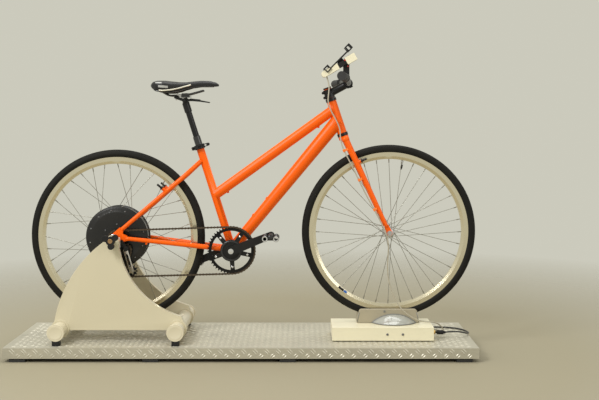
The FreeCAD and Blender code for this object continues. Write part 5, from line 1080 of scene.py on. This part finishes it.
def controls():
    paint("handlebar", "anodised")
    softened("grips", "grip", "steering", 0.0016, 40)
    console_shell()
    softened("console_jaws", "black", "steering", 0.0012, 40)
    ways = along, _, across = console_ways()
    foot = console_origin()
    rounded_block("console_screen", foot + along * 0.09 + across * 0.0148, ways, (0.033, 0.052, 0.0012),
                  0.0005, "screen", "steering")
    for k, offset in enumerate((-0.018, 0.0, 0.018)):
        rounded_block("console_key_%d" % (k + 1), foot + along * (-0.008) + across * 0.0124 + Y * offset,
                      ways,
                      (0.012, 0.011, 0.0024), 0.001, "black" if k != 1 else "red", "steering")
    for side, tag in NAMED_SIDES:
        rounded_block("console_band_" + tag, foot + along * 0.048 + Y * side * 0.0254, ways,
                      (0.03, 0.0016, 0.016), 0.0006,
                      "black", "steering")
        rounded_block("console_insert_" + tag, foot + along * 0.0665 + Y * side * 0.0256 + across * 0.007,
                      ways,
                      (0.005, 0.0016, 0.006), 0.0006, "red", "steering")
        rounded_block("console_tab_" + tag, foot + along * 0.066 + Y * side * 0.0125 + across * -0.019, ways,
                      (0.006, 0.004, 0.005), 0.0008, "red", "steering")


def console_shell():
    """Cream housings with a black waist and bar foot."""
    made = softened("console_body", "cream", "steering", 0.003, 30)
    made.data.materials.append(MAT["black"])
    origin = console_origin()
    along, _, across = console_ways()
    for face in made.data.polygons:
        offset = face.center - origin
        a, b = offset.dot(along), offset.dot(across)
        if 0.0335 < a < 0.0685 or b < -0.0152:
            face.material_index = 1


def console_ways():
    """Directions along the sloping console, across the bicycle and out of its face."""
    level, rise = math.cos(CONSOLE_SLOPE), math.sin(CONSOLE_SLOPE)
    return Vector((level, 0, rise)), Y, Vector((-rise, 0, level))


def console_origin():
    """The console's lower housing centre, a fixed way up the slope from its round tail's axis."""
    tail, reach = 0.012, 0.029
    along = console_ways()[0]
    start = Vector((corners("console_body")[0].x + tail, 0, 0))
    return start + Vector((along.x * reach, 0, 0)) + Vector((0, 0, console_tail_height() + along.z * reach))


def console_tail_height():
    """Height of the round tail's axis: the vertices furthest back lie level with it."""
    data = frame["nodes"]["console_body"].data
    back = min(v.co.x for v in data.vertices)
    heights = [v.co.z for v in data.vertices if v.co.x < back + 0.0004]
    return sum(heights) / len(heights)


# --------------------------------------------------------------------------------------------- setting

def setting():
    """Pale floor that fades out with distance, and soft studio light."""
    reach, level = 9, -0.0005
    plan = [(-reach, -reach, level), (reach, -reach, level), (reach, reach, level), (-reach, reach, level)]
    floor = bpy.data.objects.new("floor", mesh("floor", plan, [(0, 1, 2, 3)]))
    bpy.context.scene.collection.objects.link(floor)
    pale, tree, surface = shader("pale_floor")
    surface.inputs["Base Color"].default_value = (0.33, 0.295, 0.205, 1)
    surface.inputs["Roughness"].default_value = 0.7
    place = tree.nodes.new("ShaderNodeTexCoord")
    away = tree.nodes.new("ShaderNodeVectorMath")
    away.operation = "LENGTH"
    tree.links.new(place.outputs["Object"], away.inputs[0])
    fade = node(tree, "ShaderNodeMapRange", From_Min=1.1, From_Max=3.2, To_Min=1.0, To_Max=0.0)
    tree.links.new(away.outputs["Value"], fade.inputs["Value"])
    tree.links.new(fade.outputs["Result"], surface.inputs["Alpha"])
    floor.data.materials.append(pale)
    world = bpy.data.worlds.new("studio")
    world.use_nodes = True
    world.node_tree.nodes["Background"].inputs["Color"].default_value = (1.0, 0.985, 0.84, 1)
    world.node_tree.nodes["Background"].inputs["Strength"].default_value = 0.6
    bpy.context.scene.world = world
    bpy.context.scene.view_settings.view_transform = "Standard"
    for name, spot, size, power in (("key", (-2.4, -2.6, 3.4), 1.5, 130), ("fill", (3.6, -2.8, 2.2), 2.2, 30),
                                    ("top", (0.2, 0.4, 3.8), 2.6, 60)):
        data = bpy.data.lights.new(name, "AREA")
        data.energy, data.size = power, size
        lamp = bpy.data.objects.new(name, data)
        lamp.location = spot
        lamp.rotation_euler = (Vector((0, 0, 0.5)) - Vector(spot)).to_track_quat("-Z", "Y").to_euler()
        bpy.context.scene.collection.objects.link(lamp)


camera()
MAT.update(make_materials())
cords()
wheels()
stand()
front_base()
bicycle_frame()
pedals()
drive_bolts()
seat()
controls()
setting()
